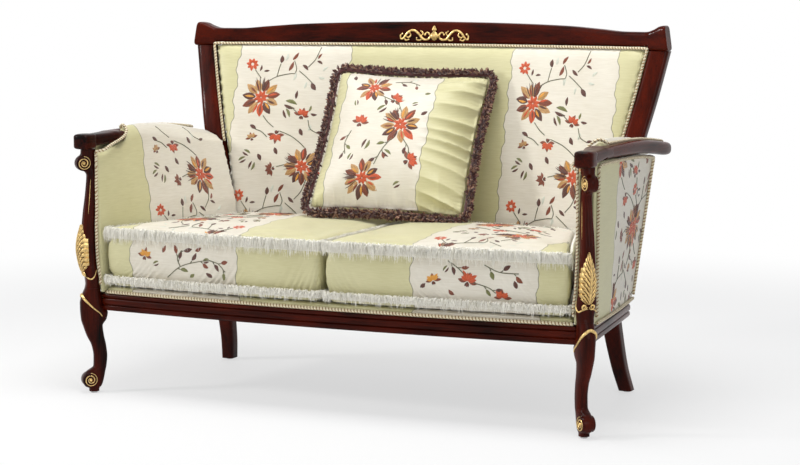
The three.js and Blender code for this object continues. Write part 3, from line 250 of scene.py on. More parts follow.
def grid_faces(rows, columns, around=False, loop=False):
    """Quads over a grid of points; `around` closes each row, `loop` joins the last to the first."""
    i = np.arange(rows if loop else rows - 1)[:, None]
    j = np.arange(columns if around else columns - 1)[None]
    up, over = (i + 1) % rows, (j + 1) % columns
    quads = [i * columns + j, i * columns + over, up * columns + over, up * columns + j]
    return np.stack(np.broadcast_arrays(*quads), -1).reshape(-1, 4)


def swept(rings, loop=False):
    """Rings (count, around, 3) as one closed surface; open ends get one flat face each."""
    count, around = rings.shape[:2]
    faces = grid_faces(count, around, True, loop).tolist()
    if not loop:
        faces += [list(range(around))[::-1], list(range((count - 1) * around, count * around))]
    return rings.reshape(-1, 3), faces


def joined(*parts):
    """Several closed (points, faces) pairs as one, each turned to face out."""
    points, faces, start = [], [], 0
    for spots, some in parts:
        points.append(np.asarray(spots, float))
        faces += [[k + start for k in face] for face in outwards(points[-1], some)]
        start += len(spots)
    return np.concatenate(points), faces


def outwards(points, faces):
    """Turns a closed surface's faces round if its enclosed volume, summed as tetrahedra, is negative."""
    corner = points[np.array([f[0] for f in faces])]
    volume = 0.0
    for k in range(1, max(len(f) for f in faces) - 1):
        wide = [n for n, f in enumerate(faces) if len(f) > k + 1]
        second = points[np.array([faces[n][k] for n in wide])]
        third = points[np.array([faces[n][k + 1] for n in wide])]
        volume += np.einsum("ij,ij->", corner[wide], np.cross(second, third))
    return faces if volume > 0 else [face[::-1] for face in faces]


def flipped(shape):
    """The mirror image at x = 0, with its faces turned back out."""
    points, faces = shape
    return points * [-1, 1, 1], [face[::-1] for face in faces]


def piece(name, shape, material, body=ROOT, stands_for=(), slot=None, crease=35, turn=True):
    """A mesh object that rides on a CAD body. Edges sharper than `crease` degrees stay sharp."""
    points, faces = shape
    if turn:
        faces = outwards(points, faces)
    mesh = bpy.data.meshes.new(name)
    mesh.from_pydata(np.round(points, 7).tolist(), [], faces)
    mesh.shade_smooth()
    mesh.set_sharp_from_angle(angle=math.radians(crease))
    made = linked(name, mesh)
    for each in material if isinstance(material, (list, tuple)) else [material]:
        mesh.materials.append(each)
    if stands_for:
        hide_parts(*stands_for)
    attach(made, body)
    return made


def finished(made):
    """Applies every modifier, so that the mesh is final."""
    bpy.context.view_layer.update()
    shape = made.evaluated_get(bpy.context.evaluated_depsgraph_get())
    mesh = bpy.data.meshes.new_from_object(shape)
    old, made.data = made.data, mesh
    made.modifiers.clear()
    bpy.data.meshes.remove(old)
    mesh.name = made.name
    return made


def places(mesh):
    out = np.empty(len(mesh.vertices) * 3)
    mesh.vertices.foreach_get("co", out)
    return out.reshape(-1, 3)


def set_places(mesh, points):
    mesh.vertices.foreach_set("co", np.asarray(points, np.float32).ravel())
    mesh.update()


def normals(mesh):
    out = np.empty(len(mesh.vertices) * 3)
    mesh.vertex_normals.foreach_get("vector", out)
    return out.reshape(-1, 3)


def turns(count):
    """Even angles of one full turn."""
    return np.linspace(0, TWO_PI, count, endpoint=False)


def run_to(points):
    """The length run along a line of points, to each of them."""
    return np.concatenate([[0], np.cumsum(np.linalg.norm(np.diff(points, axis=0), axis=1))])


def along(points, step):
    """Points at even spaces along a line of points, with the length run to each of them."""
    points = np.asarray(points, float)
    run = run_to(points)
    at = np.linspace(0, run[-1], max(2, int(round(run[-1] / step)) + 1))
    return np.stack([np.interp(at, run, points[:, k]) for k in range(3)], -1), at


def even_ring(line, count):
    """Even points on a closed line in plan, whose first point is also its last."""
    run = run_to(line)
    at = np.linspace(0, run[-1], count, endpoint=False)
    return np.stack([np.interp(at, run, line[:, k]) for k in range(2)], -1)


def ring_outwards(plan):
    """Directions out of a closed counterclockwise line in plan, square to each point's two neighbours."""
    ahead = unit(np.roll(plan, -1, 0) - np.roll(plan, 1, 0))
    return np.stack([ahead[:, 1], -ahead[:, 0]], -1)


def rounded_corner(before, corner, after, radius, count):
    """A corner rounded by a curve of second degree, from `radius` before it to `radius` past it."""
    arrive = corner + (before - corner) / np.linalg.norm(before - corner) * radius
    leave = corner + (after - corner) / np.linalg.norm(after - corner) * radius
    t = np.linspace(0, 1, count)[:, None]
    return (1 - t) ** 2 * arrive + 2 * t * (1 - t) * corner + t**2 * leave


def frames(points, up):
    """Two directions square to a line of points, the first near `up`."""
    ahead = unit(np.gradient(points, axis=0))
    up = np.broadcast_to(np.asarray(up, float), points.shape)
    side = unit(up - ahead * np.sum(up * ahead, 1)[:, None])
    return side, np.cross(ahead, side)


def round_tube(points, radius, up=(0, 0, 1), sides=10):
    """A tube along a line of points: circles of `radius`, one number or one for each point."""
    side, other = frames(points, up)
    angle = turns(sides)
    wide = np.broadcast_to(radius, len(points))[:, None, None]
    ring = np.cos(angle)[None, :, None] * side[:, None] + np.sin(angle)[None, :, None] * other[:, None]
    return swept(points[:, None] + wide * ring)


CORD_PITCH, CORD_STRANDS, STEPS_A_TURN = 9, 3, 6


def twisted_cord(points, radius):
    """Strands that wind round a line of points: each centre runs on a circle that turns once every pitch."""
    pitch = CORD_PITCH * MM
    points, run = along(points, pitch / STEPS_A_TURN)
    side, other = frames(points, (0, 0, 1))
    shapes = []
    for k in range(CORD_STRANDS):
        turn = TWO_PI * (run / pitch + k / CORD_STRANDS)
        centre = points + radius * 0.5 * (np.cos(turn)[:, None] * side + np.sin(turn)[:, None] * other)
        shapes.append(round_tube(centre, radius * 0.55, sides=5))
    return shapes


# Shared shader groups
def shader_group(name, inputs, outputs):
    """A node group with float, vector or colour sockets; returns its tree and its two end nodes."""
    tree = bpy.data.node_groups.new(name, "ShaderNodeTree")
    for way, sockets in (("INPUT", inputs), ("OUTPUT", outputs)):
        for label, kind, value in sockets:
            socket = tree.interface.new_socket(label, in_out=way, socket_type="NodeSocket" + kind)
            if value is not None:
                socket.default_value = value
    return tree, tree.nodes.new("NodeGroupInput"), tree.nodes.new("NodeGroupOutput")


def use(tree, name, **inputs):
    """Places a node group in a tree; inputs are given by name, with _ for a space."""
    made = tree.nodes.new("ShaderNodeGroup")
    made.node_tree = bpy.data.node_groups[name]
    for key, value in inputs.items():
        put(tree, made.inputs[key.replace("_", " ")], value)
    return made


def split(tree, vector):
    return node(tree, "SeparateXYZ", i0=vector).outputs


def noise(tree, vector, scale, detail=2.0, roughness=0.5):
    return node(tree, "TexNoise", Vector=vector, Scale=scale, Detail=detail, Roughness=roughness).outputs[0]


def stretched(tree, vector, scale):
    """The vector with each axis scaled."""
    return node(tree, "Mapping", i0=vector, Scale=scale).outputs[0]


def thread_wave(tree, vector, way, scale, uneven=0.0):
    """Threads side by side, as a wave that runs along one axis."""
    made = node(tree, "TexWave", {"bands_direction": way}, Vector=vector, Scale=scale, Distortion=uneven)
    return made.outputs[1]


def build_grain():
    """Wood grain that runs along z: long soft figure, fine dark pores and a slow change of tone."""
    tree, start, end = shader_group(
        "wood_grain",
        [("Vector", "Vector", None)],
        [("Figure", "Float", None), ("Pores", "Float", None), ("Height", "Float", None)],
    )
    vector = start.outputs["Vector"]
    broad = noise(tree, stretched(tree, vector, (1, 1, 0.18)), 26, 3.0, 0.55)
    fine = noise(tree, stretched(tree, vector, (1, 1, 0.05)), 210, 2.0)
    drift = noise(tree, vector, 4.5, 1.0)
    figure = maths(tree, "ADD", maths(tree, "MULTIPLY", broad, 0.65), maths(tree, "MULTIPLY", fine, 0.2))
    figure = maths(tree, "ADD", figure, maths(tree, "MULTIPLY", drift, 0.35))
    put(tree, end.inputs["Figure"], span(tree, figure, 0.42, 0.78))
    pores = noise(tree, stretched(tree, vector, (1, 1, 0.03)), 620, 1.0)
    put(tree, end.inputs["Pores"], span(tree, pores, 0.6, 0.72))
    put(tree, end.inputs["Height"], fine)


def build_weave():
    """Satin: fine threads both ways, thicker slubs here and there, and a slow unevenness of tone."""
    tree, start, end = shader_group(
        "satin_weave",
        [("Vector", "Vector", None), ("Threads", "Float", 1500.0)],
        [("Tone", "Float", None), ("Height", "Float", None)],
    )
    vector, threads = start.outputs["Vector"], start.outputs["Threads"]
    warp = thread_wave(tree, vector, "X", threads)
    weft = thread_wave(tree, vector, "Z", threads)
    slubs = noise(tree, stretched(tree, vector, (0.12, 0.12, 1.4)), 260, 2.0)
    cloud = noise(tree, vector, 7.0, 2.0)
    tone = maths(tree, "ADD", maths(tree, "MULTIPLY", slubs, 0.5), maths(tree, "MULTIPLY", cloud, 0.5))
    put(tree, end.inputs["Tone"], span(tree, tone, 0.3, 0.7))
    height = maths(tree, "ADD", maths(tree, "MULTIPLY", warp, 0.4), maths(tree, "MULTIPLY", weft, 0.4))
    put(tree, end.inputs["Height"], maths(tree, "ADD", height, maths(tree, "MULTIPLY", slubs, 0.9)))


# The band's edges, in metres: waves by their turn for each metre and their swing, and the line's half width
LONG_WAVE, LONG_SWING, SHORT_WAVE, SHORT_SWING = 58.0, 0.0042, 173.0, 0.0015
LINE_SOFT, LINE_HALF = 0.0006, 0.0017


def build_band():
    """The floral band between two edges: a mask, and the dark scalloped line sewn along both edges.

    Each edge swings with a long and a short wave along the band; the line is where the distance
    to an edge is under its half width."""
    tree, start, end = shader_group(
        "floral_band",
        [("Across", "Float", 0.0), ("Along", "Float", 0.0), ("Inner", "Float", 0.0), ("Outer", "Float", 1.0)],
        [("Band", "Float", None), ("Line", "Float", None)],
    )
    across, along_it = start.outputs["Across"], start.outputs["Along"]
    masks, lines = [], []
    for label, phase, way in (("Inner", 0.0, 1), ("Outer", 2.1, -1)):
        long_wave = maths(tree, "SINE", maths(tree, "MULTIPLY_ADD", along_it, LONG_WAVE, phase))
        short_wave = maths(tree, "SINE", maths(tree, "MULTIPLY_ADD", along_it, SHORT_WAVE, phase * 3))
        swing = maths(tree, "MULTIPLY", long_wave, LONG_SWING)
        swing = maths(tree, "MULTIPLY_ADD", short_wave, SHORT_SWING, swing)
        edge = maths(tree, "ADD", start.outputs[label], swing)
        gap = maths(tree, "MULTIPLY", maths(tree, "SUBTRACT", across, edge), float(way))
        masks.append(span(tree, gap, -LINE_SOFT, LINE_SOFT))
        lines.append(span(tree, maths(tree, "ABSOLUTE", gap), LINE_SOFT, LINE_HALF, 1.0, 0.0))
    put(tree, end.inputs["Band"], maths(tree, "MULTIPLY", *masks))
    put(tree, end.inputs["Line"], maths(tree, "MAXIMUM", *lines))


def build_stitches():
    """Satin stitch: threads side by side along a petal, from the piece's own map, a little uneven."""
    tree, start, end = shader_group(
        "stitches",
        [("Vector", "Vector", None)],
        [("Tone", "Float", None), ("Height", "Float", None)],
    )
    vector = start.outputs["Vector"]
    thread = thread_wave(tree, vector, "X", 420.0, 0.6)
    uneven = noise(tree, stretched(tree, vector, (1, 0.2, 1)), 320, 1.0)
    put(tree, end.inputs["Tone"], span(tree, uneven, 0.3, 0.7))
    put(tree, end.inputs["Height"], maths(tree, "ADD", thread, maths(tree, "MULTIPLY", uneven, 0.6)))


build_grain()
build_weave()
build_band()
build_stitches()


# Materials
def bump(tree, shader, height, distance, strength=1.0):
    made = node(tree, "Bump", Strength=strength, Distance=distance, Height=height)
    put(tree, shader.inputs["Normal"], made.outputs[0])


def own_place(tree):
    return node(tree, "TexCoord").outputs["Object"]


def toned(tree, shader, factor, dark, light):
    """Mixes the base colour from a dark and a light tone."""
    put(tree, shader.inputs["Base Color"], mix(tree, factor, colour(*dark), colour(*light)))


def polished(name, turn=(0.0, 0.0, 0.0)):
    """Dark red-brown mahogany under gloss lacquer, its grain turned to run along the piece."""
    made, tree, shader = new_material(
        name, 0.3, Coat_Weight=0.2, Coat_Roughness=0.04, Coat_IOR=1.3, Specular_IOR_Level=0.04
    )
    spots = node(tree, "Mapping", i0=own_place(tree), Rotation=turn).outputs[0]
    wood = use(tree, "wood_grain", Vector=spots)
    tone = mix(tree, wood.outputs["Figure"], colour(7, 2, 1), colour(86, 22, 6))
    tone = mix(tree, maths(tree, "MULTIPLY", wood.outputs["Pores"], 0.55), tone, colour(22, 7, 4))
    put(tree, shader.inputs["Base Color"], tone)
    put(tree, shader.inputs["Roughness"], span(tree, wood.outputs["Figure"], 0, 1, 0.36, 0.24))
    bump(tree, shader, wood.outputs["Height"], 0.0002, 0.35)
    return made


mahogany = polished("mahogany_upright")
mahogany_across = polished("mahogany_across", (0.0, RIGHT_ANGLE, 0.0))
mahogany_along = polished("mahogany_along", (RIGHT_ANGLE, 0.0, 0.0))


def planed_beech():
    made, tree, shader = new_material("planed_beech", 0.6)
    wood = use(tree, "wood_grain", Vector=stretched(tree, own_place(tree), (0.15, 1, 1)))
    toned(tree, shader, wood.outputs["Figure"], (150, 112, 74), (196, 160, 116))
    bump(tree, shader, wood.outputs["Height"], 0.0003, 0.5)
    return made


def gold_leaf():
    """Antique gold leaf: warm gold that is rubbed brown in its hollows, a little uneven in gloss."""
    made, tree, shader = new_material("antique_gilt", 0.35, Metallic=0.85, Coat_Weight=0.2)
    rubbed = noise(tree, own_place(tree), 160, 3.0, 0.6)
    hollow = span(tree, node(tree, "NewGeometry").outputs["Pointiness"], 0.44, 0.53)
    mask = maths(tree, "MULTIPLY", span(tree, rubbed, 0.38, 0.62, 0.55, 1.0), hollow)
    toned(tree, shader, mask, (74, 40, 14), (240, 206, 136))
    put(tree, shader.inputs["Roughness"], span(tree, rubbed, 0.3, 0.7, 0.28, 0.5))
    bump(tree, shader, rubbed, 0.0004, 0.4)
    return made


PLAIN_LIGHT, PLAIN_DARK = colour(214, 209, 166), colour(200, 194, 148)
GROUND_LIGHT, GROUND_DARK = colour(232, 226, 212), colour(216, 208, 190)


def satin_cloth(name, inner, outer, axis="X", own_map=False):
    """Pale green satin with a floral band between two places across: by |x|, y or the piece's own map."""
    made, tree, shader = new_material(
        name, 0.42, Sheen_Weight=0.25, Sheen_Roughness=0.4, Specular_IOR_Level=0.4
    )
    sources = node(tree, "TexCoord").outputs
    spots = sources["UV"] if own_map else sources["Object"]
    x, y, z = split(tree, spots)
    across = {"X": maths(tree, "ABSOLUTE", x), "Y": y, "U": x}[axis]
    run = y if own_map else maths(tree, "ADD", z, maths(tree, "MULTIPLY", y if axis == "X" else x, 0.8))
    weave = use(tree, "satin_weave", Vector=sources["Object"])
    band = use(tree, "floral_band", Across=across, Along=run, Inner=inner, Outer=outer)
    tone = weave.outputs["Tone"]
    plain = mix(tree, tone, PLAIN_DARK, PLAIN_LIGHT)
    ground = mix(tree, tone, GROUND_DARK, GROUND_LIGHT)
    cloth = mix(tree, band.outputs["Band"], plain, ground)
    cloth = mix(tree, maths(tree, "MULTIPLY", band.outputs["Line"], 0.8), cloth, colour(112, 108, 92))
    put(tree, shader.inputs["Base Color"], cloth)
    put(tree, shader.inputs["Roughness"], span(tree, tone, 0, 1, 0.36, 0.5))
    bump(tree, shader, weave.outputs["Height"], 0.00025, 0.5)
    return made


def thread(name, dark, light):
    """Embroidery thread: satin stitch with a silky sheen."""
    made, tree, shader = new_material(name, 0.5, Sheen_Weight=0.3, Specular_IOR_Level=0.4)
    stitch = use(tree, "stitches", Vector=node(tree, "TexCoord").outputs["UV"])
    toned(tree, shader, stitch.outputs["Tone"], dark, light)
    bump(tree, shader, stitch.outputs["Height"], 0.0003, 0.8)
    return made


def yarn(name, dark, light, roughness=0.75):
    """Yarn of a cord, fringe or ruche: fibres in two tones."""
    made, tree, shader = new_material(name, roughness, Sheen_Weight=0.4)
    fibres = noise(tree, own_place(tree), 900, 2.0)
    toned(tree, shader, span(tree, fibres, 0.35, 0.65), dark, light)
    bump(tree, shader, fibres, 0.0004, 0.6)
    return made


def rough_cloth(name, dark, light, threads=700.0):
    made, tree, shader = new_material(name, 0.85)
    weave = use(tree, "satin_weave", Vector=own_place(tree), Threads=threads)
    toned(tree, shader, weave.outputs["Tone"], dark, light)
    bump(tree, shader, weave.outputs["Height"], 0.0006, 0.8)
    return made


def brushed_steel():
    made, tree, shader = new_material("brushed_steel", 0.35, Metallic=1.0)
    marks = noise(tree, stretched(tree, own_place(tree), (1, 8, 1)), 500)
    toned(tree, shader, marks, (150, 150, 150), (200, 200, 200))
    put(tree, shader.inputs["Roughness"], span(tree, marks, 0.3, 0.7, 0.28, 0.48))
    return made


beech = planed_beech()
gilt = gold_leaf()
steel = brushed_steel()
jute = rough_cloth("jute_webbing", (120, 98, 66), (168, 144, 104), 380.0)
black_cloth = rough_cloth("black_dust_cloth", (20, 20, 20), (38, 37, 36))
BAND_INNER, BAND_OUTER = 0.252, 0.586
satin = satin_cloth("satin_bands", BAND_INNER, BAND_OUTER)
THREAD_TONES = {
    "orange": ((186, 66, 24), (222, 96, 46)),
    "tan": ((168, 122, 70), (212, 168, 108)),
    "brown": ((106, 46, 26), (146, 76, 44)),
    "dark": ((66, 32, 22), (102, 56, 40)),
    "olive": ((94, 98, 46), (138, 138, 82)),
    "stem": ((84, 82, 58), (124, 122, 90)),
    "amber": ((214, 136, 32), (238, 176, 74)),
    "pale": ((206, 208, 192), (226, 228, 214)),
}
THREADS = {tint: thread("thread_" + tint, *tones) for tint, tones in THREAD_TONES.items()}
cord_cream = yarn("cord_cream", (214, 200, 160), (246, 240, 216))
cord_gold = yarn("cord_gold", (122, 88, 40), (170, 130, 72))
fringe_yarn = yarn("fringe_white", (240, 236, 224), (254, 252, 244), 0.9)
# A greyer copy of the white fringe yarn: painted shade, for the small shadows between the strands
fringe_painted_shade = yarn("fringe_painted_shade", (204, 200, 184), (228, 224, 208), 0.9)
RUCHE_YARNS = [
    yarn("ruche_burgundy", (46, 10, 14), (86, 26, 28)),
    yarn("ruche_brown", (66, 34, 26), (106, 62, 48)),
    yarn("ruche_tan", (150, 106, 86), (198, 156, 130)),
]


# Places
# Millimetres, as in the solids: x to the right, y from the front feet back, z up from the floor.
FOOT_SPAN = (GLIDE_LOW.x + GLIDE_HIGH.x) / 2 / MM
LEG_HEIGHT = 290
POST_HEIGHT = 382
KNEE_REACH, KNEE_WIDTH = 35, 42
POST_REACH, POST_WIDTH = 28, 48
POST_TOP = LEG_HEIGHT + POST_HEIGHT
RAIL_LOW, RAIL_TOP = 229, 275
STILE_TOP, STILE_SPREAD, STILE_DEPTH = 936, 698, 628
STILE_WIDTH, STILE_THICK = 56, 42
CREST_LOW, CREST_HEIGHT = 947, 62
CREST_REACH, CREST_SPAN, CREST_FRONT, CREST_THICK = 729, 690, 606, 46
SEAT_BOW, BACK_BOW, BACK_RAKE, BACK_CROWN = 80, 105, 0.2, 18
PAD_TOP, PAD_PROUD = 937, 8
SEAM_GAP = 0.3  # left between two pieces that stand on each other
FOOT_LOW = 4 + SEAM_GAP
HALF_ROOT = math.sqrt(0.5)


def spot(x, y, z):
    """Points in metres from places in millimetres."""
    x, y, z = np.broadcast_arrays(x, y, z)
    return np.stack([x * MM, y * MM + DEPTH_SHIFT, z * MM], -1)


def corner_spot(u, v, z):
    """Points on the diagonal of the right front corner: u points outwards and v lies across it."""
    return spot(FOOT_SPAN + (u + v) * HALF_ROOT, (v - u) * HALF_ROOT - FOOT_FORWARD, z)


def pair(name, shape, material, **more):
    """A right hand piece and its mirror image; names of nodes get _right and _left."""
    stands_for = more.pop("stands_for", ())
    made = []
    for side, form in ((1, shape), (-1, flipped(shape))):
        word = SIDE_NAME[side]
        nodes = [each + "_" + word for each in stands_for]
        made.append(piece(name + "_" + word, form, material, stands_for=nodes, **more))
    return made


# Rows: height, outer face, inner face and width, as shares of the height, the reach and the width
LEG_ROWS = [
    [0, 0.38, -0.4, 0.62], [0.04, 0.38, -0.4, 0.62], [0.065, 0.74, -0.6, 0.72], [0.14, 0.93, -0.8, 0.8],
    [0.2, 0.63, -0.9, 0.76], [0.255, 0.02, -1, 0.7], [0.35, 0, -1.08, 0.68], [0.45, 0.14, -1, 0.7],
    [0.545, 0.51, -0.84, 0.76], [0.64, 0.78, -0.75, 0.86], [0.7, 0.93, -1.06, 0.95], [0.765, 0.98, -1.18, 1],
    [0.81, 1, -0.95, 1], [0.86, 1, -0.78, 1], [0.935, 0.84, -0.7, 0.96], [1, 0.6, -0.58, 0.94],
]
POST_ROWS = [
    [0, 0.75, -0.72, 0.83], [0.03, 0.66, -0.7, 0.87], [0.08, 0.72, -0.65, 0.98], [0.123, 0.88, -0.54, 1],
    [0.183, 0.96, -0.43, 0.92], [0.27, 1, -0.36, 0.87], [0.34, 1, -0.33, 0.83], [0.45, 0.94, -0.33, 0.75],
    [0.56, 0.78, -0.39, 0.72], [0.63, 0.64, -0.43, 0.67], [0.7, 0.52, -0.45, 0.63], [0.81, 0.4, -0.52, 0.58],
    [0.838, 0.6, -0.54, 0.56], [0.862, 1.3, -0.55, 0.55], [0.9, 1.5, -0.55, 0.55], [0.937, 1.32, -0.55, 0.56],
    [0.962, 0.95, -0.5, 0.62], [1, 0.9, -0.5, 0.7],
]
# Rows: height, place across, place in depth, width and thickness, as shares
STILE_ROWS = [
    [0, 0.8925, 0.968, 0.66, 0.95], [0.08, 0.874, 0.925, 0.72, 1], [0.165, 0.864, 0.882, 0.82, 1.05],
    [0.245, 0.857, 0.85, 0.9, 1.1], [0.32, 0.85, 0.846, 1, 1.05], [0.486, 0.851, 0.862, 1, 1],
    [0.6, 0.878, 0.883, 1, 1], [0.737, 0.9245, 0.911, 1, 1], [0.87, 0.965, 0.959, 1, 1], [1, 1, 1, 1, 1],
]


def leg_at(z):
    """Outer face, inner face and half width of a front leg at heights z."""
    rows = through(LEG_ROWS, np.asarray(z) / LEG_HEIGHT)
    return rows * [KNEE_REACH, KNEE_REACH, KNEE_WIDTH / 2]


def post_at(z):
    rows = through(POST_ROWS, (np.asarray(z) - LEG_HEIGHT) / POST_HEIGHT)
    return rows * [POST_REACH, POST_REACH, POST_WIDTH / 2]


def stile_at(z):
    """Centre across, centre in depth, width and thickness of a stile at heights z."""
    rows = through(STILE_ROWS, np.asarray(z) / STILE_TOP)
    return rows * [STILE_SPREAD, STILE_DEPTH, STILE_WIDTH, STILE_THICK]


def stile_inner(z):
    rows = stile_at(z)
    return rows[..., 0] - rows[..., 2] / 2


def squircle(angle, power=3.0):
    """A rounded square: the circle of radius 1 pushed out so that |a|^power + |b|^power = 1."""
    c, s = np.cos(angle), np.sin(angle)
    reach = (np.abs(c) ** power + np.abs(s) ** power) ** (-1 / power)
    return c * reach, s * reach


def diagonal_post(rows_at, heights, reeds=None, power=3.0):
    """Rounded squares stacked up the diagonal.

    Each ring runs from the inner face to the outer face in u and over the width in v. Reeds are ridges
    that run up the outer face: the ring is drawn in by 1 - |cos| of its place across."""
    outer, inner, half = rows_at(heights).T[..., None]
    c, s = squircle(turns(56), power)
    u = (outer + inner) / 2 + (outer - inner) / 2 * c
    v = half * s
    if reeds:
        count, depth, low, high = reeds
        z = np.asarray(heights)[:, None]
        fade = np.clip(np.minimum(z - low, high - z) / 14, 0, 1)
        front = np.clip(c * 3 - 0.6, 0, 1)
        u = u - depth * fade * front * (1 - np.abs(np.cos(math.pi * count * s / 2)))
    return swept(corner_spot(u, v, np.asarray(heights)[:, None]))


SPIRAL_TURNS, SPIRAL_WIRE = 2.2, 1.7
DRUM_RIM = np.array([[0.04, 1], [0.8, 1], [0.93, 0.95], [1, 0.82]])  # radius and half width, as shares


def scroll_disc(u, z, radius, half):
    """A short drum across the diagonal with rounded rims, and the spiral that is carved on both its ends.

    The spiral's radius grows evenly with its angle, from a small eye to the rim."""
    angle = turns(40)
    rim = np.vstack([DRUM_RIM, DRUM_RIM[::-1] * [1, -1]])
    r, v = rim[:, 0, None] * radius, rim[:, 1, None] * half
    drum = swept(corner_spot(u + r * np.cos(angle), v, z + r * np.sin(angle)))
    turn = np.linspace(0, 1, 90)
    at = math.pi * (0.9 - 2 * SPIRAL_TURNS * turn)
    wide = radius * (0.16 + 0.74 * turn)
    thick = SPIRAL_WIRE * (0.55 + 0.45 * np.sin(math.pi * np.clip(turn * 1.1, 0, 1))) * MM
    spirals = []
    for end in (-half, half):
        line = corner_spot(u + wide * np.cos(at), end * np.ones_like(at), z + wide * np.sin(at))
        spirals.append(round_tube(line, thick, up=(1, -1, 0.01), sides=8))
        spirals.append(ball(corner_spot(u, end, z), radius * 0.2 * MM))
    return drum, joined(*spirals)


def ball(centre, radius):
    """A sphere on a grid of two angles, closed by a small face at each pole."""
    tilt = np.linspace(0.06, math.pi - 0.06, 8)[:, None]
    turn = turns(12)
    rings = [np.sin(tilt) * np.cos(turn), np.sin(tilt) * np.sin(turn), np.cos(tilt)]
    return swept(np.asarray(centre) + radius * np.stack(np.broadcast_arrays(*rings), -1))


# Show wood
def stile_rings(heights):
    """A rounded square of the stile's width and thickness at each height."""
    x, y, width, thick = stile_at(heights).T[..., None]
    c, s = squircle(turns(44), 5.0)
    return swept(spot(x + width / 2 * c, y + thick / 2 * s, heights[:, None]))


POST_REEDS = (3, 1.8, 372, 606)  # how many, how deep, and the heights that they run between
legs = diagonal_post(leg_at, np.linspace(FOOT_LOW, LEG_HEIGHT, 90), power=2.6)
pair("carved_leg", legs, mahogany, stands_for=["front_leg"], slot="mahogany")
posts = diagonal_post(post_at, np.linspace(LEG_HEIGHT + SEAM_GAP, POST_TOP, 110), POST_REEDS, power=2.8)
pair("carved_post", posts, mahogany, stands_for=["arm_post"], slot="mahogany")
# Volutes: place out from the corner, height, radius and half width
for place, volute in {"foot": (12, 37, 21, 17.5), "post": (20, 633, 21, 14.5)}.items():
    drum, spirals = scroll_disc(*volute)
    pair(place + "_scroll", drum, mahogany, slot="mahogany")
    pair(place + "_spiral", spirals, gilt, slot="gilt", turn=False)
stiles = stile_rings(np.linspace(FOOT_LOW, STILE_TOP, 120))
pair("rear_leg", stiles, mahogany, stands_for=["rear_leg_stile"], slot="mahogany")


def bow_at(x, z):
    """How far the back bows away behind the line between its stiles."""
    edge = CREST_SPAN - stile_inner(CREST_LOW)
    height = (z - RAIL_TOP) / (CREST_LOW - RAIL_TOP)
    return (SEAT_BOW + (BACK_BOW - SEAT_BOW) * height) * (1 - (x / (stile_inner(z) + edge)) ** 2)


def core_y(x, z, offset=0.0):
    return stile_at(z)[..., 1] + bow_at(x, z) + offset


def pad_front(x, z):
    """The front of the back's upholstery: the raked plane, the bow and a crown in the middle."""
    up = np.clip((z - RAIL_TOP) / (PAD_TOP - RAIL_TOP), 0, 1)
    crown = BACK_CROWN * (1 - (x / stile_inner(z)) ** 2) * np.sin(math.pi * up)
    return CREST_FRONT - BACK_RAKE * (CREST_LOW - z) + bow_at(x, z) - PAD_PROUD - crown


def crest_front(x):
    return CREST_FRONT + BACK_BOW * (1 - (x / CREST_SPAN) ** 2)


CREST_ROWS = [
    [0, 1], [0.235, 0.97], [0.55, 0.87], [0.705, 0.745], [0.82, 0.645], [0.9, 0.645], [0.94, 0.76],
    [0.97, 0.9], [1, 0.95],
]
EAR_START, EAR_DROP, EAR_SLOPE, CREST_ROUND = 667, 11, 0.157, 9


def crest():
    """The crest rail's section is a rounded box that follows the top line and the bow from end to end.

    The ears at its ends hang lower by a short step, and lean outwards."""
    ear = np.linspace(EAR_START + 14, CREST_REACH, 16)
    out = np.concatenate([np.linspace(0, EAR_START, 60), EAR_START + np.array([0.5, 3, 7]), ear])
    x = np.concatenate([-out[:0:-1], out])
    side, far = np.sign(x), np.abs(x)
    top = CREST_LOW + CREST_HEIGHT * through(CREST_ROWS, far / CREST_REACH)[:, 0]
    step = np.clip((far - EAR_START) / 0.5, 0, 1)
    low = CREST_LOW - EAR_DROP * step
    lean = EAR_SLOPE * np.clip((far - EAR_START) / (CREST_REACH - EAR_START), 0, 1) * step
    c, s = squircle(turns(64), 6.0)
    end = np.clip((CREST_REACH - far) / CREST_ROUND, 0, 1)
    shrink = 1 - 0.1 * (1 - np.sqrt(1 - (1 - end) ** 2))
    deep = CREST_THICK / 2 * (1 + c[None] * shrink[:, None])
    z = (top + low)[:, None] / 2 + (top - low)[:, None] / 2 * s[None] * shrink[:, None]
    px = side[:, None] * (far[:, None] - lean[:, None] * (z - low[:, None]))
    return swept(spot(px, crest_front(px) + deep, z))


piece("crest", crest(), mahogany_across, stands_for=["crest_rail"], slot="mahogany")

# Moulded rails. Rows: place round the face, depth behind it and height, as shares
MOULDING_ROWS = [
    [0, 1, 1], [1, 0.3, 0.97], [2, 0, 0.9], [3, 0.3, 0.8], [4, 1, 0.75], [5, 0.3, 0.69], [6, 0, 0.55],
    [7, 0.3, 0.4], [8, 1, 0.33], [9, 0.3, 0.27], [10, 0.2, 0.14], [11, 1, 0],
]
MOULDING_DEPTH = 5
FRONT_BOW, FRONT_BOW_SPAN, FRONT_RAIL_REACH = 28, 650, 684
SIDE_PATH = [[722, 30], [667, 500], [626, 519]]
FRONT_RAIL_THICK, SIDE_RAIL_THICK, SIDE_BEND = 40, 32, 14


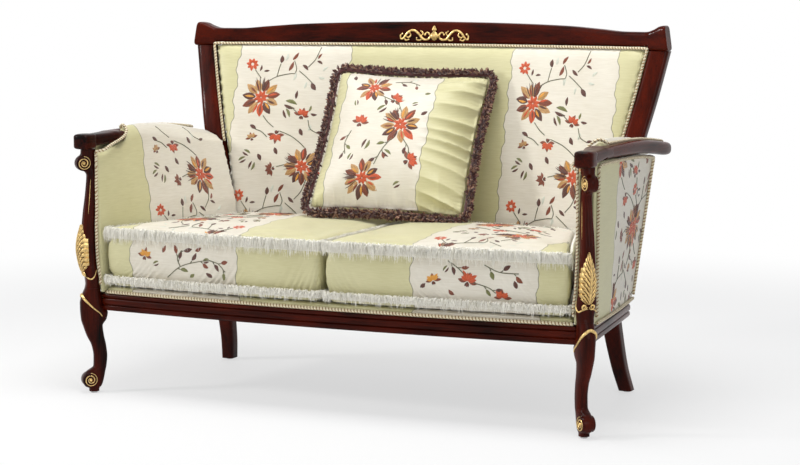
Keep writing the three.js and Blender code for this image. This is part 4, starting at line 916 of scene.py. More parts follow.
def moulded(path, thickness):
    """Carries the rail's section along a plan path, mitred where the path bends.

    The section runs over the moulded face from top to bottom and returns up the flat inner face."""
    path = np.asarray(path, float)
    ahead = unit(np.diff(path, axis=0))
    came, goes = np.vstack([ahead[:1], ahead]), np.vstack([ahead, ahead[-1:]])
    mean = unit(came + goes)
    stretch = 1 / np.sum(mean * came, 1)
    face = through(MOULDING_ROWS, np.linspace(0, 11, 67))
    out = np.concatenate([-face[:, 0] * MOULDING_DEPTH, [-thickness, -thickness]])
    z = np.concatenate([RAIL_LOW + face[:, 1] * (RAIL_TOP - RAIL_LOW), [RAIL_LOW, RAIL_TOP]])
    x = path[:, 0, None] + mean[:, 1, None] * out * stretch[:, None]
    y = path[:, 1, None] - mean[:, 0, None] * out * stretch[:, None]
    return swept(spot(x, y, z[None]))


def front_rail_y(x):
    return -FRONT_BOW * (1 - (np.asarray(x) / FRONT_BOW_SPAN) ** 2)


def bent(path, radius):
    """A path of three points whose middle corner is rounded."""
    first, corner, last = np.asarray(path, float)
    return np.vstack([first, rounded_corner(first, corner, last, radius, 6), last])


rail_x = np.linspace(-FRONT_RAIL_REACH, FRONT_RAIL_REACH, 60)
front_rail = moulded(np.stack([rail_x, front_rail_y(rail_x)], 1), FRONT_RAIL_THICK)
piece("front_rail", front_rail, mahogany_across, stands_for=["front_seat_rail"], slot="mahogany")
side_rail = moulded(bent(SIDE_PATH, SIDE_BEND), SIDE_RAIL_THICK)
pair("side_rail", side_rail, mahogany_along, stands_for=["side_seat_rail"], slot="mahogany")

# Arm rail. Rows: depth, then place across, height, width and thickness, as shares
ARM_RAIL_Y, ARM_RAIL_X, ARM_RAIL_Z, ARM_WIDE, ARM_HIGH = 591, 735, 700, 32, 36
ARM_ROWS = [
    [0.12, 0.98, 0.997, 1, 0.85], [0.22, 0.982, 1, 1, 0.89], [0.42, 0.989, 1, 0.94, 0.92],
    [0.6, 0.993, 0.996, 0.94, 0.95], [0.76, 0.997, 0.986, 0.97, 0.98], [0.91, 1, 0.973, 1, 1],
    [0.965, 1, 0.969, 0.92, 0.92], [0.99, 1, 0.967, 0.66, 0.66], [1, 1, 0.966, 0.36, 0.36],
]
# Arm cap. Rows: depth, then the section's left, right, low and high sides, as shares
CAP_LEFT, CAP_WIDE, CAP_LOW, CAP_HIGH = 673, 65, 684, 32
CAP_ROWS = [
    [0, 0.3, 1, -0.2, 0.86], [0.3, 0.16, 1, -0.08, 0.9], [0.52, 0.06, 1, 0, 0.94], [0.68, 0, 1, 0.06, 1],
    [0.86, 0, 1, 0.06, 1], [0.96, 0.05, 1, 0.12, 0.97], [1, 0.16, 0.96, 0.22, 0.88],
]
ARM_WOOD_END = 128
BLOCK_X, BLOCK_Y, BLOCK_HALF, BLOCK_DEEP_HALF, BLOCK_HIGH, BLOCK_RIM = 715, -22, 25, 30, 41, 9


def arm_rail_at(y):
    """Centre across, height, width and thickness of the arm rail at depths y."""
    rows = through(ARM_ROWS, np.asarray(y) / ARM_RAIL_Y)
    return rows * [ARM_RAIL_X, ARM_RAIL_Z, ARM_WIDE, ARM_HIGH]


def arm_rail():
    """Rounded squares along the arm: the thin rail behind, with a round end."""
    y = np.concatenate([np.linspace(ARM_WOOD_END - 40, 570, 60), np.linspace(573, ARM_RAIL_Y, 10)])
    x, z, width, height = arm_rail_at(y).T[..., None]
    c, s = squircle(turns(40), 2.6)
    return swept(spot(x + width / 2 * c, y[:, None], z + height / 2 * s))


def arm_cap():
    """The wide cap over the post: rounded squares whose sides follow the cap's rows, with a rounded front."""
    deep = np.concatenate([np.linspace(0, 0.06, 5)[:-1], np.linspace(0.06, 1, 60)])
    left, right, low, high = through(CAP_ROWS, deep).T
    x0, x1 = CAP_LEFT + CAP_WIDE * left, CAP_LEFT + CAP_WIDE * right
    z0, z1 = CAP_LOW + CAP_HIGH * low, CAP_LOW + CAP_HIGH * high
    c, s = squircle(turns(48), 3.6)
    x = ((x0 + x1) / 2)[:, None] + ((x1 - x0) / 2)[:, None] * c
    z = ((z0 + z1) / 2)[:, None] + ((z1 - z0) / 2)[:, None] * s
    return swept(spot(x, (deep * ARM_WOOD_END)[:, None], z))


def arm_block():
    """The block on the post: rounded squares in plan, stacked from the post's top, with rounded rims."""
    height = np.linspace(0, 1, 26)
    near_end = np.clip(np.abs(height - 0.5) * 2 - 0.6, 0, None) * 2.5
    rim = BLOCK_RIM * (1 - np.sqrt(np.clip(1 - near_end**2, 0, 1)))
    c, s = squircle(turns(56), 3.4)
    x = BLOCK_X + (BLOCK_HALF - rim)[:, None] * c
    y = BLOCK_Y + (BLOCK_DEEP_HALF - rim)[:, None] * s
    return swept(spot(x, y, (POST_TOP + SEAM_GAP + BLOCK_HIGH * height)[:, None]))


arm_wood = joined(arm_rail(), arm_cap(), arm_block())
pair("arm_rail_wood", arm_wood, mahogany_along, stands_for=["arm_rail"], slot="mahogany", turn=False)


# Gilding
def curve(points, count):
    """A smooth line through points: each span is the cubic whose ends point along the neighbours' chord."""
    p = np.asarray(points, float)
    p = np.vstack([2 * p[0] - p[1], p, 2 * p[-1] - p[-2]])
    at = np.linspace(0, len(points) - 1, count)
    i = np.minimum(at.astype(int), len(points) - 2)
    t = (at - i)[:, None]
    a, b, c, d = p[i], p[i + 1], p[i + 2], p[i + 3]
    return 0.5 * (2 * b + (c - a) * t + (2 * a - 5 * b + 4 * c - d) * t**2 + (3 * b - a - 3 * c + d) * t**3)


def around_post(rows_at, turn, z, lift=0.0):
    """Points on a post's skin: turn is 0 on the outer face and a right angle on its side."""
    outer, inner, half = rows_at(z).T
    c, s = squircle(np.asarray(turn, float), 2.7)
    return corner_spot((outer + inner) / 2 + ((outer - inner) / 2 + lift) * c, (half + lift) * s, z)


def tapered(points, radius, ends=0.35, up=(0, 0, 1)):
    """A tube that thins towards both ends: its radius follows a half sine, from a share of the middle's."""
    t = np.linspace(0, math.pi, len(points))
    return round_tube(points, radius * MM * (ends + (1 - ends) * np.sin(t)), up)


ARCH_TOP, ARCH_DROP, ARCH_TURN, ARCH_RADIUS = 273, 60, 118, 4.2


def knee_arch():
    """A bead over the knee: highest in front, and falling down both sides by a power of the turn."""
    turn = np.linspace(-1, 1, 60)
    z = ARCH_TOP - ARCH_DROP * np.abs(turn) ** 1.8
    return tapered(around_post(leg_at, turn * math.radians(ARCH_TURN), z, 0.4), ARCH_RADIUS, 0.3)


pair("knee_bead", knee_arch(), gilt, stands_for=["knee_gilding"], slot="gilt")

LEAF_LOW, LEAF_HEIGHT, LEAF_HALF, LEAF_SHIFT = 338, 128, 22, -4
LEAF_LOBES = 10
# Rows: height, half width and relief, as shares
LEAF_ROWS = [
    [0, 0.42, 0.35], [0.12, 0.86, 0.6], [0.3, 1, 0.85], [0.5, 0.96, 1], [0.72, 0.66, 0.8], [0.88, 0.36, 0.5],
    [1, 0.06, 0.25],
]


def post_leaf():
    """An acanthus leaf bent over the post: its half width is notched into lobes, and its face is a rounded
    back with a midrib and a groove between each two veins, which sweep up and outwards."""
    h = np.linspace(0, 1, 130)[:, None]
    s = np.linspace(-1, 1, 49)[None]
    wide, relief = through(LEAF_ROWS, h[:, 0]).T[..., None]
    lobe = (h * LEAF_LOBES) % 1
    notch = 1 - 0.16 * (1 - lobe) ** 2 * np.clip(h * 8, 0, 1) * np.clip((1 - h) * 5, 0, 1)
    z = LEAF_LOW + h * LEAF_HEIGHT
    outer, _, half = post_at(z[:, 0]).T[..., None]
    v = LEAF_SHIFT + s * wide * LEAF_HALF * notch
    vein = (h * LEAF_LOBES - np.abs(s) * 2.3) % 1
    groove = 4.2 * (1 - np.sin(math.pi * vein) ** 0.7) * np.clip(np.abs(s) * 5 - 0.5, 0, 1)
    midrib = 2.4 * np.exp(-((s / 0.11) ** 2))
    dome = 15 * relief * (1 - 0.75 * s**2) - 4 * np.abs(s) ** 6
    front = outer + dome + midrib - groove
    rear = outer - 8 - 6 * s**2
    u = np.concatenate([front, rear[:, ::-1]], 1)
    across = np.concatenate([v, v[:, ::-1]], 1)
    return swept(corner_spot(u, across, z))


pair("acanthus_leaf", post_leaf(), gilt, stands_for=["post_leaf"], slot="gilt", crease=60)


CURL_RADIUS, CURL_ASIDE, CURL_Z, SWEEP_Z = 7.5, 10.5, 331, 316


def leaf_curls():
    """Under the leaf: a small curl to each side, and a long thin line that sweeps round the post."""
    parts = []
    for side in (-1, 1):
        angle = np.linspace(0, 2.6 * math.pi, 50)
        wide = CURL_RADIUS * (1 - 0.72 * angle / angle[-1])
        v = LEAF_SHIFT + side * (CURL_ASIDE - wide * np.cos(angle))
        z = CURL_Z - wide * np.sin(angle)
        u = post_at(z)[:, 0] + 1.5
        parts.append(tapered(corner_spot(u, v, z), 2.3, 0.5, up=(1, -1, 0)))
        turn = side * np.linspace(0.1, 2.2, 50)
        sweep = SWEEP_Z + 9 * np.cos(np.linspace(0, math.pi, 50))
        sweep = sweep + 26 * np.clip(np.abs(turn) - 1, 0, None) ** 1.6
        parts.append(tapered(around_post(post_at, turn, sweep, 0.4), 2.1, 0.2))
    return joined(*parts)


pair("leaf_curls", leaf_curls(), gilt, slot="gilt", turn=False)


HOLLOW_LOW, HOLLOW_HIGH, HOLLOW_TURN = 478, 604, 1.25


def post_lines():
    """Two thin gilded lines up the hollows of the post, from the leaf to the volute."""
    z = np.linspace(HOLLOW_LOW, HOLLOW_HIGH, 40)
    routes = [around_post(post_at, np.full(40, turn), z, -0.6) for turn in (-HOLLOW_TURN, HOLLOW_TURN)]
    return joined(*[tapered(route, 0.9, 0.3, up=(1, 0, 0)) for route in routes])


pair("post_lines", post_lines(), gilt, slot="gilt", turn=False)

ORNAMENT_BASE, ORNAMENT_REACH, ORNAMENT_HIGH = 954, 106, 40
SCROLL = [
    [0.28, 0.42], [0.235, 0.56], [0.17, 0.52], [0.13, 0.3], [0.2, 0.1], [0.34, 0.12], [0.45, 0.42],
    [0.56, 0.66], [0.68, 0.7], [0.8, 0.52], [0.9, 0.2], [0.98, 0.12], [1.0, 0.34], [0.95, 0.46],
]
SPRIGS = [
    [[0.36, 0.2], [0.42, 0.05], [0.52, 0.06], [0.53, 0.2]],
    [[0.74, 0.6], [0.7, 0.36], [0.78, 0.22], [0.84, 0.34]],
    [[0.9, 0.2], [0.84, 0.03], [0.76, 0.08]],
    [[0.4, 0.3], [0.34, 0.52], [0.4, 0.66]],
]


def crest_scrolls():
    """A leafy scroll to each side of the finial, as thick and thin tubes on the crest's face."""
    parts = []
    for line, radius, count in [(SCROLL, 3.4, 110)] + [(sprig, 2.3, 30) for sprig in SPRIGS]:
        across, up = curve(line, count).T
        x = across * ORNAMENT_REACH
        points = spot(x, crest_front(x) - 1.6, ORNAMENT_BASE + up * ORNAMENT_HIGH * 1.05)
        beads = [ball(end, radius * 0.95 * MM) for end in (points[0], points[-1])]
        for shape in [tapered(points, radius, 0.45, up=(0, 1, 0))] + beads:
            parts += [shape, flipped(shape)]
    return parts


FINIAL = [[0, 0.02], [0.1, 0.5], [0.3, 1], [0.5, 0.62], [0.62, 0.3], [0.72, 0.55], [0.86, 0.36], [1, 0.03]]
FINIAL_WIDE, FINIAL_HIGH = 13, 44


def finial():
    """A bud with three ribs: rings about an upright line, flattened against the crest."""
    h = np.linspace(0, 1, 60)
    angle = turns(48)
    wide = through(FINIAL, h)[:, 0, None] * FINIAL_WIDE * (1 + 0.1 * np.cos(3 * angle))
    y = crest_front(0) - 3.4 + 0.45 * wide * np.cos(angle)
    return swept(spot(wide * np.sin(angle), y, (ORNAMENT_BASE + FINIAL_HIGH * h)[:, None]))


ornament = joined(*crest_scrolls(), finial())
piece("crest_ornament_gilt", ornament, gilt, stands_for=["crest_ornament"], slot="gilt", turn=False)


# Upholstery
def merged_copy(*names):
    """The meshes of CAD nodes as one mesh, with the corners of their loose triangles joined."""
    work = bmesh.new()
    for name in names:
        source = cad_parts[name]
        mesh = source.data.copy()
        mesh.transform(source.matrix_world)
        work.from_mesh(mesh)
        bpy.data.meshes.remove(mesh)
    bmesh.ops.remove_doubles(work, verts=work.verts, dist=1e-5)
    mesh = bpy.data.meshes.new("copy")
    work.to_mesh(mesh)
    work.free()
    return mesh


def remeshed(name, mesh, voxel, smooth=2, keep=1.0):
    """The mesh as even small quads, with its edges softened; a flat one keeps only a share of its faces."""
    made = linked(name, mesh)
    remesh = made.modifiers.new("even", "REMESH")
    remesh.mode, remesh.voxel_size = "VOXEL", voxel
    if smooth:
        soft = made.modifiers.new("soft", "SMOOTH")
        soft.factor, soft.iterations = 0.5, smooth
    if keep < 1:
        made.modifiers.new("fewer", "DECIMATE").ratio = keep
    finished(made)
    made.data.materials.clear()
    made.data.shade_smooth()
    return made


def covered(made, nodes, material, body=ROOT):
    """Gives a made piece its cloth, its body and the nodes that it stands for."""
    made.data.materials.append(material)
    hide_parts(*nodes)
    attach(made, body)
    return made


def upholstered(name, nodes, voxel=0.006, smooth=6, material=None, fill=0.7, shape=None, keep=1.0):
    """A padded piece made from its solid: remeshed, softened, shaped by a function, and given its cloth."""
    made = remeshed(name, merged_copy(*nodes), voxel, smooth, keep)
    if shape:
        set_places(made.data, shape(places(made.data), normals(made.data)))
    return covered(made, nodes, material or satin)


def to_mm(points):
    """Places in millimetres, with depth measured from the front feet."""
    return (points - [0, DEPTH_SHIFT, 0]) / MM


def fall_off(distance, reach):
    """1 at the edge, and nothing past `reach`, as a square."""
    return np.clip(1 - distance / reach, 0, 1) ** 2


def back_shape(points, facing):
    """The front rolls back towards its side and top edges; shallow puckers run in from the cord."""
    x, y, z = to_mm(points).T
    side = stile_inner(z) - 10 - np.abs(x)
    top = PAD_TOP - z
    roll = 10 * fall_off(side, 46) + 7 * fall_off(top, 34)
    pucker = fall_off(side, 26) * np.sin(z / 3.4 + np.sin(z / 21))
    pucker += fall_off(top, 22) * np.sin(x / 3.2 + np.sin(x / 17))
    y = y + np.where(facing[:, 1] < -0.2, roll + 0.7 * pucker, 0)
    return spot(x, y, z)


back = upholstered("back_upholstery", ["back_pad"], smooth=5, shape=back_shape)
upholstered("seat_deck_cloth", ["seat_deck"], voxel=0.007, smooth=2, fill=0.5)
flat_cloth = {"voxel": 0.004, "smooth": 1, "fill": 0.2}
outside_back = upholstered("outside_back_cloth", ["outside_back_panel"], keep=0.22, **flat_cloth)
ARM_BAND = (0.185 + DEPTH_SHIFT, 0.66 + DEPTH_SHIFT)
OUTER_BAND = (0.2 + DEPTH_SHIFT, 0.62 + DEPTH_SHIFT)
arm_satin = satin_cloth("satin_arm_bands", *ARM_BAND, axis="Y")
outer_satin = satin_cloth("satin_outer_bands", *OUTER_BAND, axis="Y")
arms, outers = {}, {}
for side, word in SIDE_NAME.items():
    arms[side] = upholstered(
        "arm_upholstery_" + word, ["arm_pad_" + word], voxel=0.005, smooth=5, material=arm_satin
    )
    outers[side] = upholstered(
        "outside_arm_cloth_" + word, ["outside_arm_panel_" + word],
        material=outer_satin, keep=0.3, **flat_cloth,
    )


# Loose cushions and pillow
CLOTH_FRAMES = 20


def swollen(made, held, pressure, cap):
    """Blows cloth up from inside, held still where `held`, and lets no point move further than `cap`."""
    start = places(made.data)
    scene = bpy.context.scene
    group = made.vertex_groups.new(name="held")
    group.add(np.flatnonzero(held).tolist(), 1.0, "REPLACE")
    cloth = made.modifiers.new("cloth", "CLOTH")
    settings = cloth.settings
    settings.quality = 5
    settings.use_pressure = True
    settings.uniform_pressure_force = pressure
    settings.vertex_group_mass = "held"
    settings.effector_weights.gravity = 0
    cloth.point_cache.frame_start, cloth.point_cache.frame_end = 1, CLOTH_FRAMES
    for at in range(1, CLOTH_FRAMES + 1):
        scene.frame_set(at)
    shape = made.evaluated_get(bpy.context.evaluated_depsgraph_get()).to_mesh()
    end = places(shape)
    made.modifiers.clear()
    made.vertex_groups.clear()
    scene.frame_set(1)
    move = end - start
    length = np.linalg.norm(move, axis=1)[:, None]
    set_places(made.data, start + move * np.minimum(1, cap / np.maximum(length, 1e-9)))


def refined(made):
    """One subdivision, applied."""
    step = made.modifiers.new("finer", "SUBSURF")
    step.levels = step.render_levels = 1
    finished(made)
    made.data.shade_smooth()


CUSHION_LOW, CUSHION_HALF, CUSHION_REAR = 293.8, 679.5, 527
FRINGE_TALL, BOTTOM_SEAM, TOP_SEAM = 27, 323, 455
# The cushion's gap from the sofa's middle, and how far its cloth is shrunk first and may then stand proud
CUSHION_GAP, CUSHION_SHRUNK, CUSHION_PROUD, CUSHION_RISE = 0.4, 3, 3.5, 5
# The cloth simulation's pressure, and the furthest that it may move a point
CUSHION_PRESSURE, CUSHION_SWELL, PILLOW_PRESSURE, PILLOW_SWELL = 4.0, 22, 5.0, 24


def wave(place, length, wander):
    """Folds side by side: a sine whose phase wanders with a slower one."""
    phase = 2.0 * np.sin(place / wander) + 1.1 * np.sin(place / (wander * 0.37))
    return np.sin(TWO_PI * place / length + phase)


def gathered(points, facing):
    """Little folds that run up from the bottom seam and down from the top one, in bunches along the edge."""
    x, y, z = to_mm(points).T
    wall = np.clip(1.3 - 1.6 * np.abs(facing[:, 2]), 0, 1)
    place = x * np.abs(facing[:, 1]) + y * np.abs(facing[:, 0])
    bunch = 0.55 + 0.45 * np.sin(place / 41 + 0.8)
    rise, drop = np.clip(z - BOTTOM_SEAM, 0, None), np.clip(TOP_SEAM - FRINGE_TALL - z, 0, None)
    low = np.exp(-rise / 34) * wave(place + 0.55 * rise, 17, 33)
    high = np.exp(-drop / 11) * wave(place - 0.3 * drop, 13, 29)
    slack = 1.1 * np.sin(place / 37 + z / 23) * np.sin(place / 90)
    move = wall * (3.4 * bunch * low + 1.2 * high + slack)
    top = np.clip(facing[:, 2] * 1.4 - 0.4, 0, 1)
    move = move + top * 1.6 * np.sin(x / 63 + np.sin(y / 80)) * np.sin(y / 71 + 0.5)
    return points + facing * move[:, None] * MM


def clear_of_middle(points):
    """Keeps the right cushion's points on their own side of the sofa's middle."""
    points[:, 0] = np.maximum(points[:, 0], CUSHION_GAP * MM)
    return points


def seat_cushion():
    """The right hand cushion: swollen by cloth simulation, held at its seams and kept to its place."""
    made = remeshed("seat_cushion_cloth_right", merged_copy("seat_cushion_right"), 0.008, 3)
    solid = places(made.data)
    facing = normals(made.data)
    set_places(made.data, solid - facing * CUSHION_SHRUNK * MM)
    height = solid[:, 2] / MM
    wall = np.abs(facing[:, 2]) < 0.8
    held = wall & ((np.abs(height - BOTTOM_SEAM + 13) < 9) | (np.abs(height - TOP_SEAM + 10) < 9))
    held |= height < CUSHION_LOW + 3
    swollen(made, held, CUSHION_PRESSURE, CUSHION_SWELL * MM)
    grown = places(made.data) - solid
    flat = np.linalg.norm(grown[:, :2], axis=1)[:, None]
    grown[:, :2] *= np.minimum(1, CUSHION_PROUD * MM / np.maximum(flat, 1e-9))
    grown[:, 2] = np.clip(grown[:, 2], 0, CUSHION_RISE * MM)
    set_places(made.data, clear_of_middle(solid + grown))
    refined(made)
    set_places(made.data, clear_of_middle(gathered(places(made.data), normals(made.data))))
    return made


def mirror_twin(made, name):
    """A copy of a made piece, mirrored at x = 0 and turned right side out."""
    mesh = made.data.copy()
    mesh.transform(Matrix.Diagonal((-1, 1, 1, 1)))
    mesh.flip_normals()
    mesh.name = name
    return linked(name, mesh)


cushions = {1: seat_cushion()}
cushions[-1] = mirror_twin(cushions[1], "seat_cushion_cloth_left")
for side, word in SIDE_NAME.items():
    covered(cushions[side], ["seat_cushion_" + word], satin, body=CUSHION_BODY[side])

# The pillow's own frame: x across, y from its face to its back, z up
PILLOW_X, PILLOW_Z, PILLOW_FORWARD, PILLOW_HALF, PILLOW_THICK = -11, 676.3, 132, 222, 128
PILLOW_TWIST, PILLOW_LEAN, PILLOW_ROLL = (math.radians(each) for each in (6.8, -34, 1.5))
PILLOW_TURN = Matrix.Rotation(PILLOW_TWIST, 3, "Z") @ Matrix.Rotation(PILLOW_LEAN, 3, "X")
PILLOW_TURN = np.array(PILLOW_TURN @ Matrix.Rotation(PILLOW_ROLL, 3, "Y"))
PILLOW_PLACE = spot(PILLOW_X, pad_front(np.array(PILLOW_X), np.array(PILLOW_Z)) - PILLOW_FORWARD, PILLOW_Z)


def from_pillow(points):
    return points @ PILLOW_TURN.T + PILLOW_PLACE


def to_pillow(points):
    return (points - PILLOW_PLACE) @ PILLOW_TURN


PILLOW_BAND = (-0.182, 0.092)


def creased(points, facing):
    """Deep folds that fan in from the right edge of the face, and small puckers along every edge."""
    x, y, z = (points / MM).T
    side = np.clip(np.abs(facing[:, 1]) * 1.5 - 0.2, 0, 1)
    edge = PILLOW_HALF - np.maximum(np.abs(x), np.abs(z))
    reach = np.clip((x - 62) / 110, 0, 1) ** 1.3 * np.clip(edge / 16 + 0.25, 0, 1)
    ray = z * (1 + 0.35 * (PILLOW_HALF - x) / PILLOW_HALF) + 0.1 * x
    fold = 1 - 2 * np.abs(np.sin(math.pi * ray / 44 + 0.7 * np.sin(ray / 37) + 0.4)) ** 0.7
    deep = 10.0 * reach * fold * (0.75 + 0.25 * np.sin(z / 49 + 1))
    low = np.clip((-z - 100) / 100, 0, 1) * np.clip(edge / 16 + 0.25, 0, 1)
    deep = deep + 3.2 * low * (1 - 2 * np.abs(np.sin(math.pi * (x + 0.2 * z) / 61)) ** 0.8)
    along_edge = np.where(np.abs(x) > np.abs(z), z, x)
    pucker = 1.8 * np.exp(-np.clip(edge, 0, None) / 17) * wave(along_edge, 15, 27)
    soft = 1.4 * np.sin(x / 47 + z / 83) * np.sin(z / 39)
    return points + facing * (side * (deep + pucker + soft))[:, None] * MM


def laid_map(mesh, name, flat):
    """Gives every corner of the mesh its vertex's place on a flat map."""
    corners = np.empty(len(mesh.loops), np.int32)
    mesh.loops.foreach_get("vertex_index", corners)
    mesh.uv_layers.new(name=name).data.foreach_set("uv", flat[corners].ravel())


def throw_pillow():
    """The pillow, swollen by cloth simulation in its own frame and held along its seam, then creased."""
    mesh = merged_copy("throw_pillow")
    set_places(mesh, to_pillow(places(mesh)))
    made = remeshed("pillow_cloth", mesh, 0.006, 4)
    solid = places(made.data)
    edge = PILLOW_HALF * MM - np.maximum(np.abs(solid[:, 0]), np.abs(solid[:, 2]))
    swollen(made, edge < 0.012, PILLOW_PRESSURE, PILLOW_SWELL * MM)
    points = places(made.data)
    limit = PILLOW_THICK * MM / 2 + 0.004
    points[:, 1] = np.clip(points[:, 1], -limit, limit)
    set_places(made.data, points)
    refined(made)
    local = creased(places(made.data), normals(made.data))
    set_places(made.data, local)
    laid_map(made.data, "cloth", local[:, [0, 2]])
    set_places(made.data, from_pillow(local))
    return made


pillow = throw_pillow()
pillow_satin = satin_cloth("satin_pillow", *PILLOW_BAND, axis="U", own_map=True)
covered(pillow, ["throw_pillow"], pillow_satin, body="pillow")


# Embroidery
TINTS = list(THREADS)
stems = []  # lines of the print that is being drawn


def stitch(x, y, turn, length, half, tint, bend=0.0, lift=0.0):
    """One pointed patch of satin stitch, from its base at (x, y), with a turn from x towards y."""
    return [x, y, turn, length, half, bend, lift, TINTS.index(tint)]


def fan(x, y, count, inner, length, half, tints, turn=0.0, spread=TWO_PI, lift=0.0):
    """Petals round a centre, a little uneven in length and direction."""
    rows = []
    for k in range(count):
        a = turn + spread * (k + 0.5) / count + RNG.uniform(-0.09, 0.09)
        reach = length * RNG.uniform(0.82, 1.06)
        base = (x + inner * math.cos(a), y + inner * math.sin(a))
        rows.append(stitch(*base, a, reach, half, tints[k % len(tints)], RNG.uniform(-0.1, 0.1), lift))
    return rows


def bloom(x, y, r, turn=0.0):
    """A large open flower: long petals in tans and browns, short orange ones, and a tuft of dark stamens."""
    outer = ["tan", "brown", "tan", "tan", "dark", "brown", "tan", "orange", "dark", "tan", "brown"]
    inner = ["amber", "dark", "orange", "brown"]
    return (
        fan(x, y, 11, 0.26 * r, 0.78 * r, 0.19 * r, outer, turn)
        + fan(x, y, 11, 0.34 * r, 0.5 * r, 0.06 * r, inner, turn + 0.1, lift=0.4)
        + fan(x, y, 8, 0.02 * r, 0.36 * r, 0.09 * r, ["orange"], turn + 0.3, lift=0.55)
        + fan(x, y, 7, 0.3 * r, 0.74 * r, 0.026 * r, ["dark"], turn + 0.7, 1.0, lift=0.8)
    )


def blossom(x, y, r, turn=0.0, tint="orange"):
    """A small flower seen from the side: a cup of petals, with a few dark or brown ones behind it."""
    return (
        fan(x, y, 5, 0.1 * r, 0.95 * r, 0.2 * r, ["brown", tint], turn - 1.9, 3.8)
        + fan(x, y, 6, 0.05 * r, 0.8 * r, 0.19 * r, [tint], turn - 1.3, 2.6, lift=0.35)
        + fan(x, y, 3, -0.5 * r, 0.5 * r, 0.12 * r, ["dark", "brown"], turn - 0.6, 1.2, lift=0.2)
    )


def leaf_pair(x, y, turn, size=24.0):
    """A leaf in two halves, dark and olive, beside each other."""
    size = 1.3 * size
    off = 0.14 * size
    dx, dy = -math.sin(turn) * off, math.cos(turn) * off
    return [
        stitch(x + dx, y + dy, turn, size, 0.15 * size, "olive", 0.2),
        stitch(x - dx, y - dy, turn, size * 0.94, 0.13 * size, "dark", -0.14),
    ]


def loose_leaf(x, y, turn, size, tint):
    return stitch(x, y, turn, 1.3 * size, 0.36 * size, tint, RNG.uniform(-0.2, 0.2))


def sprig(points, leaves, size=19.0):
    """A stem through points, with leaves to its two sides: each leaf is (share along the stem, tint)."""
    line = curve(points, 24)
    rows = []
    for k, (share, tint) in enumerate(leaves):
        i = int(share * 22)
        ahead = line[i + 1] - line[i]
        way = math.atan2(ahead[1], ahead[0]) + (0.75 if k % 2 else -0.75)
        x, y = line[i] + 9 * np.array([math.cos(way), math.sin(way)])
        length = 1.45 * size * RNG.uniform(0.85, 1.15)
        rows.append(stitch(x, y, way, length, size * 0.36, tint, RNG.uniform(-0.2, 0.2)))
        stems.append(curve([line[i], line[i] + 0.6 * (np.array([x, y]) - line[i]) + ahead * 0.2, [x, y]], 8))
    stems.append(line)
    return rows



def leaf(x, y, degrees, length, tint, wide=0.19):
    """A leaf from its middle: degrees from x towards y, and its half width as a share of its length."""
    turn = math.radians(degrees)
    base = (x - length / 2 * math.cos(turn), y - length / 2 * math.sin(turn))
    return stitch(*base, turn, length, wide * length, tint, RNG.uniform(-0.2, 0.2))


REPEAT_HIGH = 379
# Places on a repeat, from its lower middle. Leaves: x, y, degrees, length and thread, some with their width
REPEAT_LEAVES = [
    (-40, 349, 90, 24, "dark", 0.28), (1, 358, 55, 28, "brown"), (-9, 329, 68, 31, "brown"),
    (34, 325, -40, 26, "dark"), (66, 271, -52, 28, "dark", 0.27), (18, 247, 85, 26, "dark"),
    (75, 358, 58, 20, "brown"), (76, 340, -28, 21, "dark"), (-99, 323, 80, 19, "dark"),
    (-80, 315, 5, 18, "dark"), (-102, 153, -30, 24, "dark", 0.24), (-74, 66, -60, 24, "dark", 0.26),
    (-26, 85, -62, 24, "dark", 0.26), (44, 140, -62, 24, "dark", 0.27), (77, 192, -8, 22, "dark"),
    (63, 208, 75, 20, "olive"), (99, 140, 8, 22, "dark"), (5, 300, 80, 26, "pale"),
    (-25, 356, 80, 24, "pale"), (41, 275, 75, 22, "pale"), (88, 297, -10, 22, "pale"),
    (68, 153, 70, 22, "pale"), (96, 322, 40, 22, "pale"),
]
REPEAT_BRANCHES = [
    [[-71, 286], [-47, 299], [-12, 307], [5, 308]],
    [[-48, 300], [-45, 318], [-41, 336]],
    [[5, 308], [8, 323], [-1, 345]],
    [[17, 316], [42, 297], [61, 281]],
    [[74, 384], [62, 350], [43, 327]],
    [[-76, 186], [-60, 168], [-41, 153]],
    [[-21, 142], [14, 129], [41, 112], [60, 96]],
    [[-96, 147], [-76, 140], [-57, 125]],
    [[-115, 318], [-95, 294]],
    [[3, 214], [28, 194]],
    [[-19, 40], [3, 46]],
    [[61, 175], [70, 151], [92, 138]],
]


def repeat(x, y, flip=1):
    """One repeat of the print, with the photographed places of its flowers, leaves and branches; flip
    mirrors it across."""
    rows = (
        bloom(-88, 238, 59, 0.4)
        + bloom(57, 42, 59, 1.7)
        + fan(-125, 334, 8, 3, 17, 5, ["orange"], 0.3)
        + blossom(41, 188, 25, 1.3)
        + blossom(-30, 132, 26, -1.6)
        + blossom(-34, 33, 21, 3.4, "brown")
        + blossom(-103, 121, 18, 1.9, "tan")
        + leaf_pair(-16, 224, -0.3, 31)
        + leaf_pair(-14, 206, -1.1, 24)
        + leaf_pair(-124, 84, -0.5, 19)
        + leaf_pair(-134, 52, 0.5, 19)
        + leaf_pair(-90, 54, -1.9, 21)
        + [leaf(*each) for each in REPEAT_LEAVES]
    )
    for points in REPEAT_BRANCHES:
        stems.append(curve(points, 8 * len(points)) * [flip, 1] + [x, y])
    rows = np.array(rows, float)
    if flip < 0:
        rows = turned_over(rows)
    return rows + np.array([x, y, 0, 0, 0, 0, 0, 0])


def turned_over(rows):
    """Patches turned over from left to right."""
    rows = rows * [-1, 1, 1, 1, 1, -1, 1, 1]
    rows[:, 2] = math.pi - rows[:, 2]
    return rows


PATCH_STEPS = 7
RING_POINTS = 2 * PATCH_STEPS - 2
RING_ROWS = np.array([[1.0, -0.4], [0.9, 0.35], [0.52, 0.7]])  # share of the outline, height in millimetres


